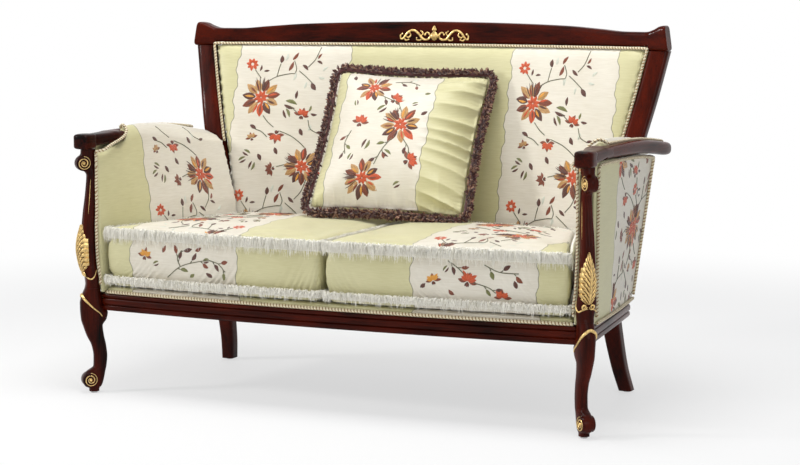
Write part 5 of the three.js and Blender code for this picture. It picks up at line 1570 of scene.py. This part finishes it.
def patch_points(rows):
    """All patches at once, as (patch, point, 2), with each point's height and its place on the stitches' map.

    The outline is a leaf: its half width is the sine of its run to the power 0.85, drawn to a point, and
    its middle line bends by a sine. Rings are the outline at shares of its size; the last two points are
    the patch's top and bottom centres."""
    t = (1 - np.cos(np.linspace(0, math.pi, PATCH_STEPS))) / 2
    wide = np.sin(math.pi * t**0.9) ** 0.85
    up = np.concatenate([t, t[-2:0:-1]])
    over = np.concatenate([wide, -wide[-2:0:-1]])
    run = np.concatenate([0.5 + (up - 0.5) * share for share, _ in RING_ROWS] + [[0.5, 0.5]])
    side = np.concatenate([over * share for share, _ in RING_ROWS] + [[0, 0]])
    high = np.concatenate([np.full(len(up), h) for _, h in RING_ROWS] + [[0.8, -0.5]])
    x, y, turn, length, half, bend, lift, _ = rows.T[..., None]
    a = run * length
    b = side * half + bend * length * np.sin(math.pi * run) * 0.5
    flat = np.stack([x + a * np.cos(turn) - b * np.sin(turn), y + a * np.sin(turn) + b * np.cos(turn)], -1)
    height = high + np.where(high > 0, lift, 0)
    return flat, height, np.stack([b, a], -1)


def patch_faces():
    """The faces of one patch: quads between its rings, and fans to its top and bottom centres."""
    n, rings = RING_POINTS, len(RING_ROWS)
    here, there = np.arange(n), (np.arange(n) + 1) % n
    faces = []
    for k in range(rings - 1):
        faces += [[k * n + i, k * n + j, (k + 1) * n + j, (k + 1) * n + i] for i, j in zip(here, there)]
    faces += [[(rings - 1) * n + i, (rings - 1) * n + j, rings * n] for i, j in zip(here, there)]
    faces += [[j, i, rings * n + 1] for i, j in zip(here, there)]
    return faces


def dropped(points, target, matrix):
    """Points of a flat pattern, dropped along their frame's y axis onto a piece; nan for those that miss."""
    mesh = bpy.data.meshes.new("pattern")
    start = np.stack([points[:, 0] * MM, np.full(len(points), -1.0), points[:, 1] * MM], -1)
    mesh.from_pydata(start.tolist(), [], [])
    made = linked("pattern", mesh)
    made.matrix_world = matrix
    wrap = made.modifiers.new("drop", "SHRINKWRAP")
    wrap.target, wrap.wrap_method = target, "PROJECT"
    wrap.use_project_y, wrap.use_positive_direction, wrap.use_negative_direction = True, True, False
    bpy.context.view_layer.update()
    shape = made.evaluated_get(bpy.context.evaluated_depsgraph_get()).to_mesh()
    end = places(shape)
    missed = np.abs(end[:, 1] - start[:, 1]) < 1e-6
    world = end @ np.array(matrix)[:3, :3].T + np.array(matrix)[:3, 3]
    world[missed] = np.nan
    bpy.data.objects.remove(made)
    bpy.data.meshes.remove(mesh)
    return world


def facing_frame(origin, right, up):
    """A frame whose x axis runs right over the pattern, z up, and y into the cloth."""
    return axes_matrix(right, np.cross(up, right), up, origin)


DEEPEST = 22  # how far apart in depth a patch's points may land
STEM_RADIUS = 1.4


def tinted(made, tints):
    """Gives each face its material, by number."""
    made.data.polygons.foreach_set("material_index", np.concatenate(tints).astype(np.int32))


def embroidered(name, jobs, body=ROOT):
    """Embroidery on one or more pieces, as one object with a material for each thread.

    A job is (cloth piece, frame, rows of patches, stems). Each patch is dropped on the cloth, and raised
    along its own normal by its heights; patches that miss the cloth or fall over an edge are left out."""
    shapes, tints, maps = [], [], []
    pattern = patch_faces()
    for target, matrix, rows, lines in jobs:
        flat, height, stitches = patch_points(rows)
        count, per = flat.shape[:2]
        world = dropped(flat.reshape(-1, 2), target, matrix).reshape(count, per, 3)
        depth = (world - np.array(matrix)[:3, 3]) @ np.array(matrix)[:3, 1]
        fits = ~np.isnan(depth).any(1)
        fits &= np.ptp(np.where(np.isnan(depth), 0, depth), axis=1) < DEEPEST * MM
        world, height, stitches, tint = world[fits], height[fits], stitches[fits], rows[fits, 7].astype(int)
        tip, root = world[:, PATCH_STEPS - 1], world[:, 0]
        left, right = world[:, PATCH_STEPS // 2], world[:, RING_POINTS - PATCH_STEPS // 2]
        out = unit(np.cross(tip - root, left - right))
        out *= np.where(out @ np.array(matrix)[:3, 1] > 0, -1, 1)[:, None]
        raised = world + out[:, None] * height[..., None] * MM
        for k in range(len(raised)):
            shapes.append((raised[k], pattern))
            tints.append(np.full(len(pattern), tint[k]))
            maps.append(stitches[k] * MM)
        if lines:
            ends = np.cumsum([len(line) for line in lines])[:-1]
            for line in np.split(dropped(np.vstack(lines), target, matrix), ends):
                if np.isnan(line).any() or len(line) < 6:
                    continue
                tube = round_tube(line, STEM_RADIUS * MM, up=np.array(matrix)[:3, 1], sides=6)
                shapes.append(tube)
                tints.append(np.full(len(tube[1]), TINTS.index("stem")))
                maps.append(tube[0][:, [0, 2]])
    threads = list(THREADS.values())
    made = piece(name, joined(*shapes), threads, body=body, slot="satin", turn=False, crease=70)
    tinted(made, tints)
    laid_map(made.data, "stitches", np.concatenate(maps))


def print_at(*spots_of_repeats):
    """Repeats of the print at given places, with their stems."""
    stems.clear()
    rows = np.vstack([repeat(*each) for each in spots_of_repeats])
    return rows, list(stems)


BAND_MID = (BAND_INNER + BAND_OUTER) / 2 / MM
EDGES = (BAND_INNER / MM, BAND_OUTER / MM)
EDGE_MARGIN = 4
RIGHT, LEFT, UP, BACKWARDS = (1, 0, 0), (-1, 0, 0), (0, 0, 1), (0, 1, 0)


def clear_of_edges(rows, lines, inner, outer):
    """Leaves out what would cross the band's own edges, by the ends of each patch and stem."""
    low, high = inner + EDGE_MARGIN, outer - EDGE_MARGIN
    ends = np.abs([rows[:, 0], rows[:, 0] + rows[:, 3] * np.cos(rows[:, 2])])
    keep = (ends.min(0) > low) & (ends.max(0) < high)
    away = [(line, np.abs(line[:, 0])) for line in lines]
    return rows[keep], [line for line, far in away if far.min() > low and far.max() < high]


BACK_PRINT_Z, TOP_PRINT_Y = 548, -241
THREE_REPEATS = (-REPEAT_HIGH, 0, REPEAT_HIGH)
back_repeats = [(side * BAND_MID, BACK_PRINT_Z + on, 1) for side in (-1, 1) for on in THREE_REPEATS]
front_rows, front_stems = clear_of_edges(*print_at(*back_repeats), *EDGES)
front_view = facing_frame((0, 0, 0), RIGHT, UP)
rear_view = facing_frame((0, 0, 0), LEFT, UP)
embroidered("back_embroidery", [(back, front_view, front_rows, front_stems)])
embroidered("outside_back_embroidery", [(outside_back, rear_view, front_rows, front_stems)])

WALL_LOW, WALL_HIGH = 326, 428


def wall_print(side):
    """The front of a cushion, from the band's left edge and the wall's foot: on the left cushion an amber
    flower and a branched sprig, on the right one an orange flower between two sprigs."""
    stems.clear()
    if side < 0:
        rows = (
            blossom(46, 62, 24, 1.4, "amber")
            + leaf_pair(74, 40, 0.4, 16)
            + leaf_pair(232, 58, 0.2, 16)
            + sprig(
                [[116, 8], [160, 40], [214, 56], [252, 62]],
                [(0.3, "olive"), (0.55, "dark"), (0.8, "brown")], 17,
            )
            + sprig([[252, 62], [280, 54], [300, 34]], [(0.2, "dark"), (0.5, "brown"), (0.95, "olive")], 17)
            + sprig([[160, 40], [152, 62], [164, 84]], [(0.3, "dark"), (0.6, "brown"), (0.97, "dark")], 18)
            + [loose_leaf(104, 74, 1.2, 17, "brown"), loose_leaf(260, 16, 2.6, 18, "dark")]
            + [loose_leaf(206, 84, 0.5, 16, "brown"), loose_leaf(188, 12, 0.6, 15, "olive")]
        )
    else:
        rows = (
            blossom(152, 48, 29, 1.3)
            + blossom(60, 46, 22, 1.8, "amber")
            + blossom(242, 10, 24, 1.5)
            + leaf_pair(88, 70, 0.9, 15)
            + sprig([[98, 98], [122, 84], [144, 66]], [(0.2, "dark"), (0.6, "brown")], 15)
            + sprig([[168, 46], [206, 36], [226, 22]], [(0.4, "olive"), (0.8, "dark")], 15)
            + sprig([[196, 92], [236, 76], [286, 74]], [(0.2, "olive"), (0.55, "dark"), (0.95, "brown")], 18)
            + [loose_leaf(24, 26, 0.7, 16, "dark"), loose_leaf(116, 12, 2.4, 16, "brown")]
            + [loose_leaf(282, 36, 1.9, 17, "dark")]
        )
    corner = np.array([BAND_INNER / MM if side > 0 else -BAND_OUTER / MM, WALL_LOW])
    rows = np.array(rows, float)
    rows[:, :2] += corner
    kept = (rows[:, 1] > WALL_LOW) & (rows[:, 1] < WALL_HIGH)
    lines = [line + corner for line in stems]
    return rows[kept], [line for line in lines if line[:, 1].max() < WALL_HIGH]


top_repeats = [(side * BAND_MID, TOP_PRINT_Y + on, side) for side in (-1, 1) for on in THREE_REPEATS]
top_rows, top_stems = clear_of_edges(*print_at(*top_repeats), *EDGES)
top_view = facing_frame((0, 0, 0), RIGHT, BACKWARDS)
for side, word in SIDE_NAME.items():
    mine = np.sign(top_rows[:, 0]) == side
    my_stems = [line for line in top_stems if np.sign(line[0, 0]) == side]
    jobs = [(cushions[side], top_view, top_rows[mine], my_stems)]
    jobs.append((cushions[side], front_view, *clear_of_edges(*wall_print(side), *EDGES)))
    embroidered("cushion_embroidery_" + word, jobs, body=CUSHION_BODY[side])


def mirrored(rows, lines):
    return turned_over(rows), [line * [-1, 1] for line in lines]


ARM_PRINT_Y, ARM_PRINT_Z = 346, 531
OUTER_PRINTS = ((300, 442), (480, 632))
arm_edges = [(place - DEPTH_SHIFT) / MM for place in ARM_BAND]
outer_edges = [(place - DEPTH_SHIFT) / MM for place in OUTER_BAND]
arm_repeats = [(ARM_PRINT_Y, ARM_PRINT_Z - down, 1) for down in (0, REPEAT_HIGH)]
arm_print = clear_of_edges(*print_at(*arm_repeats), *arm_edges)
outer_repeats = [(y, z - down, 1) for y, z in OUTER_PRINTS for down in (0, REPEAT_HIGH)]
outer_print = clear_of_edges(*print_at(*outer_repeats), *outer_edges)
origin = np.array([0, DEPTH_SHIFT, 0])
for side, word in SIDE_NAME.items():
    inside = facing_frame(origin, (0, -side, 0), UP)
    inside_job = (arms[side], inside, *(mirrored(*arm_print) if side > 0 else arm_print))
    embroidered("arm_embroidery_" + word, [inside_job])
    outside = facing_frame(origin + [side * 2, 0, 0], (0, side, 0), UP)
    outside_job = (outers[side], outside, *(mirrored(*outer_print) if side < 0 else outer_print))
    embroidered("outside_arm_embroidery_" + word, [outside_job])


def pillow_print():
    """The pillow's own layout: three large flowers, small ones between them, and sprigs that join them."""
    stems.clear()
    rows = (
        bloom(-92, 148, 52, 0.2)
        + bloom(14, 22, 60, 1.2)
        + bloom(-70, -142, 54, 2.0)
        + blossom(-20, 104, 28, 0.8)
        + blossom(-108, 28, 30, 1.4)
        + blossom(58, -88, 31, 0.5)
        + leaf_pair(-62, 62, 0.7, 24)
        + leaf_pair(-70, -28, -1.9, 26)
        + leaf_pair(-20, -62, -0.6, 22)
        + leaf_pair(34, 88, 0.4, 15)
        + leaf_pair(-132, 86, 1.8, 15)
        + leaf_pair(-118, -92, 1.2, 18)
        + leaf_pair(22, -160, 0.5, 18)
        + sprig(
            [[-66, 120], [-40, 108], [-8, 92], [10, 62]], [(0.2, "dark"), (0.6, "pale"), (0.9, "brown")], 15
        )
        + sprig([[-2, -22], [-24, -60], [-40, -104]], [(0.2, "olive"), (0.5, "brown"), (0.8, "dark")], 16)
        + sprig([[30, -22], [52, -52], [50, -80]], [(0.3, "dark"), (0.7, "pale")], 15)
        + sprig([[-130, 4], [-142, -34], [-134, -70]], [(0.2, "brown"), (0.55, "olive"), (0.9, "dark")], 15)
        + sprig([[-40, 176], [0, 180], [36, 166]], [(0.2, "dark"), (0.5, "pale"), (0.9, "brown")], 14)
        + [loose_leaf(-156, 176, 1.9, 17, "dark"), loose_leaf(66, 56, 0.7, 17, "dark")]
        + [loose_leaf(60, 130, 0.2, 14, "olive")]
    )
    rows = np.array(rows, float)
    far = rows[:, 0] + rows[:, 3] * np.cos(rows[:, 2])
    inner, outer = PILLOW_BAND[0] / MM + 5, PILLOW_BAND[1] / MM - 5
    keep = (np.minimum(rows[:, 0], far) > inner) & (np.maximum(rows[:, 0], far) < outer)
    return rows[keep], [line for line in stems if line[:, 0].min() > inner and line[:, 0].max() < outer]


pillow_frame = axes_matrix(*PILLOW_TURN.T, PILLOW_PLACE)
embroidered("pillow_embroidery", [(pillow, pillow_frame, *pillow_print())], body="pillow")


# Cords, fringes and ruche
def cord_piece(name, line, radius, node_name):
    """A twisted cord along a line: two cream strands and a gold one, which wind round each other."""
    shapes = twisted_cord(line, radius * MM)
    yarns = [cord_cream, cord_gold]
    made = piece(name, joined(*shapes), yarns, stands_for=[node_name], slot="trim", turn=False)
    tinted(made, [np.full(len(faces), int(k == 0)) for k, (_, faces) in enumerate(shapes)])


LINE_STEP = 4


def smooth_line(points):
    """A smooth line through points in metres, with even spaces between its own points."""
    return along(curve(points, len(points) * 12), LINE_STEP * MM)[0]


CORD_BEND, CORD_LIFT, CORD_RADIUS, FRONT_CORD_RADIUS, REAR_CORD_RADIUS = 4, 4.3, 4.2, 5, 3.8
BACK_CORD_GAP, BACK_CORD_LOW, REAR_CORD_GAP, REAR_CORD_LOW, FRONT_CORD_HALF = 4.4, 660, 4.2, 319, 674


def frame_cord_line(gap, depth, low):
    """Up beside one stile, across under the crest, and down beside the other, at a gap from the wood."""
    top = CREST_LOW - gap
    z = np.linspace(low, top - CORD_BEND, 16)
    beside = stile_inner(z) - gap
    rise = spot(beside, depth(beside, z), z)
    corner = stile_inner(np.array(top)) - gap - CORD_BEND
    x = np.linspace(corner, -corner, 30)
    across = spot(x, depth(x, np.full(30, top)), top)
    return smooth_line(np.vstack([rise, across, rise[::-1] * [-1, 1, 1]]))


def inside_back(x, z):
    return CREST_FRONT - BACK_RAKE * (CREST_LOW - z) + bow_at(x, z) - 1


def outside_back_face(x, z):
    return core_y(x, z, STILE_THICK / 2 + 5)


back_line = frame_cord_line(BACK_CORD_GAP, inside_back, BACK_CORD_LOW)
cord_piece("back_cord", back_line, CORD_RADIUS, "back_gimp")
rear_line = frame_cord_line(REAR_CORD_GAP, outside_back_face, REAR_CORD_LOW)
cord_piece("outside_back_cord", rear_line, REAR_CORD_RADIUS, "outside_back_gimp")
x = np.linspace(-FRONT_CORD_HALF, FRONT_CORD_HALF, 50)
front_line = smooth_line(spot(x, front_rail_y(x) + 6.2, RAIL_TOP + 5))
cord_piece("front_rail_cord", front_line, FRONT_CORD_RADIUS, "front_rail_gimp")

# The outside arm panel, in plan from the post to the rear corner
PANEL_FRONT_X, PANEL_REAR_X, PANEL_FLARE, PANEL_BULGE = 722, 668, 54 / 376, 5
PANEL_START, PANEL_RUN = 30, 470


def panel_line(t, z):
    """A line on the outside arm panel: t runs from the post to the rear corner, with the panel's bulge."""
    x = PANEL_FRONT_X + (PANEL_REAR_X + PANEL_FLARE * (z - RAIL_TOP) - PANEL_FRONT_X) * t
    return spot(x + PANEL_BULGE * np.sin(math.pi * t) + CORD_LIFT, PANEL_START + PANEL_RUN * t, z)


def under_rail(t):
    rows = arm_rail_at(np.maximum(PANEL_START + PANEL_RUN * t, ARM_WOOD_END / 2))
    return rows[..., 1] - rows[..., 3] / 2 - 9


t = np.linspace(0.03, 0.985, 30)
side_line = panel_line(t, np.full(30, RAIL_TOP + 4.6))
z = np.linspace(297, 664, 20)
up_front, down_rear = panel_line(np.full(20, 0.03), z), panel_line(np.full(20, 0.975), z[::-1] - 6)
outer_line = smooth_line(np.vstack([up_front, panel_line(t[1:-1], under_rail(t[1:-1])), down_rear]))


def beside_post():
    """Down the inner corner of the post, in front of the arm's cloth."""
    z = np.linspace(303, 664, 40)
    _, inner, half = post_at(z).T
    x = FOOT_SPAN + (inner - half) * HALF_ROOT + 0.207 * half - 4.6
    y = np.minimum((-half - inner) * HALF_ROOT - FOOT_FORWARD, -8.2) - 0.3
    return np.stack([x, y, z], -1)


# Points from the arm's ridge over the cap's inner side to the post
CAP_ROUTE = [
    [710, 150, 722], [694, 138, 729], [677, 128, 719], [669.5, 112, 705], [668, 84, 694], [668, 52, 686],
    [668, 24, 678], [670, 4, 670],
]


def arm_front_line():
    """From the arm's ridge forwards along the cap's inner side, round its front corner and down the post."""
    return smooth_line(spot(*np.vstack([CAP_ROUTE, beside_post()[::-1]]).T))


y = np.linspace(154, 573, 30)
rows = arm_rail_at(y)
ridge_line = smooth_line(spot(rows[:, 0] - ARM_WIDE / 4 - 3, y, rows[:, 1] + rows[:, 3] / 2 + 2.6))
right_lines = {
    "side_rail_cord": (side_line, "side_rail_gimp"),
    "outer_arm_cord": (outer_line, "outer_arm_gimp"),
    "arm_front_cord": (arm_front_line(), "arm_gimp"),
    "arm_top_cord": (ridge_line, "arm_top_gimp"),
}
for name, (line, node_name) in right_lines.items():
    for side, word in SIDE_NAME.items():
        cord_piece(name + "_" + word, line * [side, 1, 1], CORD_RADIUS, node_name + "_" + word)

CUSHION_FRONT, CUSHION_BOW, CUSHION_CORNERS = -36, 32, (24, 26, 26, 24)


def cushion_outline(inset, count):
    """The right cushion's plan, moved in by `inset`: a bowed front and rear, drawn straight between, with
    rounded corners. Returns points and outward directions in plan."""
    low = np.array([[0.3, 0.0], [CUSHION_HALF, 0.0], [CUSHION_REAR, 1.0], [0.3, 1.0]])
    rear = pad_front(np.array(float(CUSHION_REAR)), np.array(CUSHION_LOW)) - 1
    corners = low * [1, rear]
    line = []
    for i, radius in enumerate(CUSHION_CORNERS):
        line.append(rounded_corner(corners[i - 1], corners[i], corners[(i + 1) % 4], radius, 12))
    x, y = even_ring(np.vstack(line + [line[0][:1]]), count).T
    front = CUSHION_FRONT + CUSHION_BOW * (x / CUSHION_HALF) ** 2
    back = pad_front(x, np.full(count, float(CUSHION_LOW))) - 1
    plan = np.stack([x, front + (back - front) * y / rear], -1)
    out = ring_outwards(plan)
    return plan - out * inset, out


STRAND_SIDES, STRAND_STEPS = 3, 4
FACES_OF_A_STRAND = STRAND_SIDES * (STRAND_STEPS - 1) + 2


def strand_shape(roots, middles, ends, radius):
    """Thin tapering strands as one shape: each bends through its middle by a curve of second degree."""
    t = np.linspace(0, 1, STRAND_STEPS)[None, :, None]
    roots, middles, ends = roots[:, None], middles[:, None], ends[:, None]
    line = (1 - t) ** 2 * roots + 2 * t * (1 - t) * middles + t**2 * ends
    ahead = unit(2 * (1 - t) * (middles - roots) + 2 * t * (ends - middles))
    one = unit(np.cross(ahead, RNG.normal(size=(len(roots), 1, 3))))
    two = np.cross(ahead, one)
    angle = turns(STRAND_SIDES)[:, None]
    thin = radius * (1 - 0.75 * t[..., None] ** 2)
    points = line[:, :, None] + thin * (np.cos(angle) * one[:, :, None] + np.sin(angle) * two[:, :, None])
    per = STRAND_STEPS * STRAND_SIDES
    start = (np.arange(len(roots)) * per)[:, None, None]
    faces = (grid_faces(STRAND_STEPS, STRAND_SIDES, True)[None] + start).reshape(-1, 4).tolist()
    for cap in (np.arange(STRAND_SIDES)[::-1], np.arange(per - STRAND_SIDES, per)):
        faces += (cap[None] + start[:, 0]).tolist()
    return points.reshape(-1, 3), faces


# The last number is the share of strands that carry painted shade, in a greyer copy of the yarn
FRINGE_STRANDS, TUFT, FRINGE_RADIUS, PAINTED_SHADE_SHARE = 3600, 12, 1.05, 0.15
# The tape's section: how far in from the cushion's edge, and height as a share of the drop
TAPE = [[8.0, -0.66], [2.4, -0.6], [1.2, -0.4], [0.8, -0.16], [2.5, -0.02], [8.0, 0.02]]


def fringe_shape(seam, drop):
    """A brush fringe: strands leave the seam outwards, rise a little, bend over and hang.

    Every dozen share a tuft, with its own lean, length and distance from the cushion. Only the front has
    room to stand out. Behind the strands a soft tape closes the gaps."""
    plan, out = cushion_outline(2.0, FRINGE_STRANDS)
    shapes = []
    pick = RNG.permutation(FRINGE_STRANDS)
    tufts = FRINGE_STRANDS // TUFT + 2
    for layer, (length, swing) in enumerate(((1.0, 5.5), (0.72, 8.5))):
        n = pick[layer::2]
        size = len(n)
        own = (n / TUFT + RNG.normal(0, 0.35, size)).astype(int) % tufts
        lean = RNG.normal(0, 5.0, tufts)[own]
        longer = RNG.uniform(0.78, 1.08, tufts)[own]
        further = RNG.uniform(0.6, 1.3, tufts)[own]
        base, way = plan[n], out[n]
        side = np.stack([-way[:, 1], way[:, 0]], -1)
        room = np.clip(-way[:, 1], 0.15, 1)
        height = seam + RNG.uniform(-5, 5, size)
        root = spot(*base.T, height)
        reach = swing * further * room * RNG.uniform(0.75, 1.25, size)
        aside = lean + RNG.normal(0, 2.4, size)
        middle_plan = base + way * reach[:, None] * 1.5 + side * aside[:, None] * 0.3
        middle = spot(*middle_plan.T, height + RNG.uniform(0, 6, size))
        end_plan = base + way * (reach * RNG.uniform(0.4, 1.0, size))[:, None] + side * aside[:, None]
        fall = drop * length * longer * RNG.uniform(0.7, 1.05, size)
        end = spot(*end_plan.T, height - fall)
        shapes.append(strand_shape(root, middle, end, FRINGE_RADIUS * MM))
    plan, out = cushion_outline(0.0, 300)
    tape = np.array(TAPE) * [1, drop]
    ring = plan[:, None] - out[:, None] * tape[None, :, :1]
    shapes.append(swept(spot(ring[..., 0], ring[..., 1], seam + tape[None, :, 1]), loop=True))
    return shapes


SEAM_LIFT = 1.5
FRINGES = {"top": (TOP_SEAM + SEAM_LIFT, 41), "bottom": (BOTTOM_SEAM + SEAM_LIFT, 26)}  # seam and drop
for level, (seam, drop) in FRINGES.items():
    shapes = fringe_shape(seam, drop)
    shape = joined(*shapes)
    # A random share of the strands take the greyer yarn: painted shade among the strands
    strands_with_painted_shade = np.repeat(RNG.random(FRINGE_STRANDS) < PAINTED_SHADE_SHARE, FACES_OF_A_STRAND)
    for side, word in SIDE_NAME.items():
        made = piece(
            f"cushion_{level}_fur_{word}", shape if side > 0 else flipped(shape), [fringe_yarn, fringe_painted_shade],
            body=CUSHION_BODY[side], stands_for=[f"cushion_{level}_fringe_{word}"], slot="fringe", turn=False,
        )
        tinted(made, [strands_with_painted_shade, np.zeros(len(shapes[-1][1]))])

PILLOW_CORNER, PILLOW_DRAWN = 16, 9


def pillow_edge(count):
    """The pillow's seam in its own frame, with directions out: a square with round corners, whose sides draw
    in between them."""
    angle = (np.arange(4)[:, None] + np.linspace(0, 1, 6)) * RIGHT_ANGLE
    centre = (PILLOW_HALF - PILLOW_CORNER) * np.array([[1, 1], [-1, 1], [-1, -1], [1, -1]])
    ring = centre[:, None] + PILLOW_CORNER * np.stack([np.cos(angle), np.sin(angle)], -1)
    ring = ring.reshape(-1, 2)
    plan = even_ring(np.vstack([ring, ring[:1]]), count)
    share = np.min(np.abs(plan), axis=1) / PILLOW_HALF
    plan = plan * (1 - PILLOW_DRAWN / PILLOW_HALF * (1 - share**2))[:, None]
    return plan, ring_outwards(plan)


RUCHE_LOOPS, RUCHE_OUT, RUCHE_REACH, RUCHE_RADIUS = 3400, 13, 18, 2.1
RUCHE_CORE = 7


def ruche_shape():
    """A thick ruche: round a middle line outside the seam, small loops stand out to all sides but one.

    A loop is two strands from the middle line to one far point, which bulge apart and lean along the seam."""
    plan, out = pillow_edge(RUCHE_LOOPS)
    size = RUCHE_LOOPS
    side = np.stack([-out[:, 1], out[:, 0]], -1)
    turn = RNG.uniform(-2.2, 2.2, size)
    reach = RUCHE_REACH * RNG.uniform(0.72, 1.08, size)
    lean = RNG.normal(0, 3.2, size)
    width = RNG.uniform(2.5, 4.5, size)

    def local(share, aside):
        flat = plan + out * (RUCHE_OUT + share * reach * np.cos(turn))[:, None] + side * aside[:, None]
        return from_pillow(np.stack([flat[:, 0], share * reach * np.sin(turn), flat[:, 1]], -1) * MM)

    root, tip = local(0.2, lean * 0), local(1.0, lean)
    shapes = []
    for way in (-width, width):
        shapes.append(strand_shape(root, local(0.75, lean * 0.6 + way), tip, RUCHE_RADIUS * MM))
    core_plan, core_out = pillow_edge(240)
    angle = turns(10)
    away = RUCHE_OUT - 2 + RUCHE_CORE * np.cos(angle)
    ring = core_plan[:, None] + core_out[:, None] * away[None, :, None]
    deep = np.broadcast_to((RUCHE_CORE - 1) * np.sin(angle), ring.shape[:2])
    core = np.stack([ring[..., 0], deep, ring[..., 1]], -1) * MM
    shapes.append(swept(from_pillow(core), loop=True))
    return shapes


shapes = ruche_shape()
made = piece(
    "pillow_loops", joined(*shapes), RUCHE_YARNS,
    body="pillow", stands_for=["pillow_ruche"], slot="ruche", turn=False,
)
shade = np.repeat(RNG.choice(3, RUCHE_LOOPS, p=[0.42, 0.33, 0.25]), FACES_OF_A_STRAND)
tinted(made, [shade, shade, np.zeros(len(shapes[-1][1]))])


# Inner frame, straps and dust cover
kept_shapes = {"seat_cross_brace": beech, "back_tack_rail": beech, "rear_seat_rail": mahogany_across}
for word in SIDE_NAME.values():
    for part in ("front_corner_block_", "rear_corner_block_", "arm_tack_rail_"):
        kept_shapes[part + word] = beech
    for part in ("front_glide_", "rear_glide_"):
        kept_shapes[part + word] = steel
for node_name, material in kept_shapes.items():
    for material_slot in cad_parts[node_name].material_slots:
        material_slot.material = material

STRAP_WIDE, STRAP_THICK, STRAP_LIFT = 55, 1.6, 0.9
SEAT_REAR_HALF, SEAT_SIDE_DEPTH = 540, 500
STRAP_REACH, STRAP_TAPER = 664, 0.17


def strap(start, end, centre, side, out, crossings, first=1):
    """A webbing strap whose middle line is centre(t): it goes over and under at its crossings, by a cosine
    that turns between them; its section is a flat band with rounded edges."""
    t = np.linspace(start, end, 90)
    phase = np.interp(t, crossings, np.arange(len(crossings)) + (0 if first > 0 else 1))
    lift = STRAP_LIFT * np.cos(math.pi * phase)
    across, through_band = squircle(turns(12), 5)
    line = centre(t) + lift[:, None] * np.array(out, float)
    rings = line[:, None] + (across * STRAP_WIDE / 2)[None, :, None] * np.array(side, float)
    rings = rings + (through_band * STRAP_THICK / 2)[None, :, None] * np.array(out, float)
    return swept(spot(*np.moveaxis(rings, -1, 0)))


def stacked(x, y, z):
    return np.stack(np.broadcast_arrays(x, y, z), -1).astype(float)


def seat_straps():
    """Five straps from front to rear and three across, woven under the seat."""
    z = RAIL_TOP + STRAP_THICK - 1.2
    columns = np.array([-0.74, -0.37, 0, 0.37, 0.74]) * SEAT_REAR_HALF
    rows = np.array([0.25, 0.5, 0.75]) * SEAT_SIDE_DEPTH
    shapes = []
    for k, x in enumerate(columns):
        front, rear = front_rail_y(np.array(x)) + 22, core_y(np.array(x), np.array(RAIL_TOP), 0) - 4

        def lengthwise(t, x=x):
            return stacked(x, t, z)

        shapes.append(strap(front, rear, lengthwise, (1, 0, 0), (0, 0, 1), rows, (-1) ** k))
    for k, y in enumerate(rows):
        half = STRAP_REACH - STRAP_TAPER * y

        def crosswise(t, y=y):
            return stacked(t, y, z)

        shapes.append(strap(-half, half, crosswise, (0, 1, 0), (0, 0, 1), columns, -((-1) ** k)))
    return joined(*shapes)


def back_straps():
    """Three straps across the back and three up it, woven behind its padding."""
    low, high = RAIL_TOP + 83, CREST_LOW - 4
    rows = low + np.array([0.25, 0.52, 0.8]) * (high - low)
    shares = np.array([-0.6, 0, 0.6])
    shapes = []
    for k, z in enumerate(rows):
        half = stile_inner(np.array(z - STRAP_WIDE / 2)) - 4

        def level_line(t, z=z):
            return stacked(t, core_y(t, np.full_like(t, z), -STRAP_THICK), z)

        shapes.append(strap(-half, half, level_line, (0, 0, 1), (0, 1, 0), shares * half, (-1) ** k))
    for k, share in enumerate(shares):

        def upright_line(t, share=share):
            x = share * stile_inner(t)
            return stacked(x, core_y(x, t, -STRAP_THICK), t)

        shapes.append(strap(low, high, upright_line, (1, 0, 0), (0, 1, 0), rows, -((-1) ** k)))
    return joined(*shapes)


piece("seat_straps", seat_straps(), jute, stands_for=["seat_webbing"], slot="jute", turn=False)
piece("back_straps", back_straps(), jute, stands_for=["back_webbing"], slot="jute", turn=False)

DUST_TOP, DUST_THICK, DUST_HALF, DUST_TAPER, DUST_SAG = RAIL_LOW - 0.9, 0.7, 640, 122, 3.2


def dust_sheet():
    """The black cloth under the seat: edges follow the rails, corners are cut off round the legs, and the
    middle sags by the product of two sines, with light drag lines at the edges. Returns its shape, its area
    and its two sizes."""
    u, v = np.meshgrid(np.linspace(-1, 1, 91), np.linspace(0, 1, 41))
    half = DUST_HALF - DUST_TAPER * v - 34 * fall_off(v, 0.12) - 26 * fall_off(1 - v, 0.12)
    x = u * half
    front = front_rail_y(x) + 14
    rear = core_y(x, np.full_like(x, RAIL_TOP), 0) - 6
    y = front + (rear - front) * v
    edge = np.minimum(1 - np.abs(u), np.minimum(v, 1 - v) * 1.2)
    sag = DUST_SAG * np.sin(math.pi * (u + 1) / 2) * np.sin(math.pi * v)
    drag = 0.5 * fall_off(edge, 0.12) * np.clip(edge * 40, 0, 1) * np.sin(x / 11 + 2 * np.sin(y / 37))
    z = DUST_TOP - sag + drag
    top, bottom = spot(x, y, z), spot(x, y, z - DUST_THICK)
    across, along_y = np.diff(top[:, :, :2], axis=1)[:-1], np.diff(top[:, :, :2], axis=0)[:, :-1]
    area = np.abs(across[..., 0] * along_y[..., 1] - across[..., 1] * along_y[..., 0]).sum()
    shape = swept(np.concatenate([top, bottom[:, ::-1]], 1))
    return shape, area, (float(np.ptp(x)) * MM, float(np.ptp(y)) * MM)


shape, area, cut = dust_sheet()
dust = piece("dust_cover_cloth", shape, black_cloth, stands_for=["dust_cover"], slot="black_cloth")
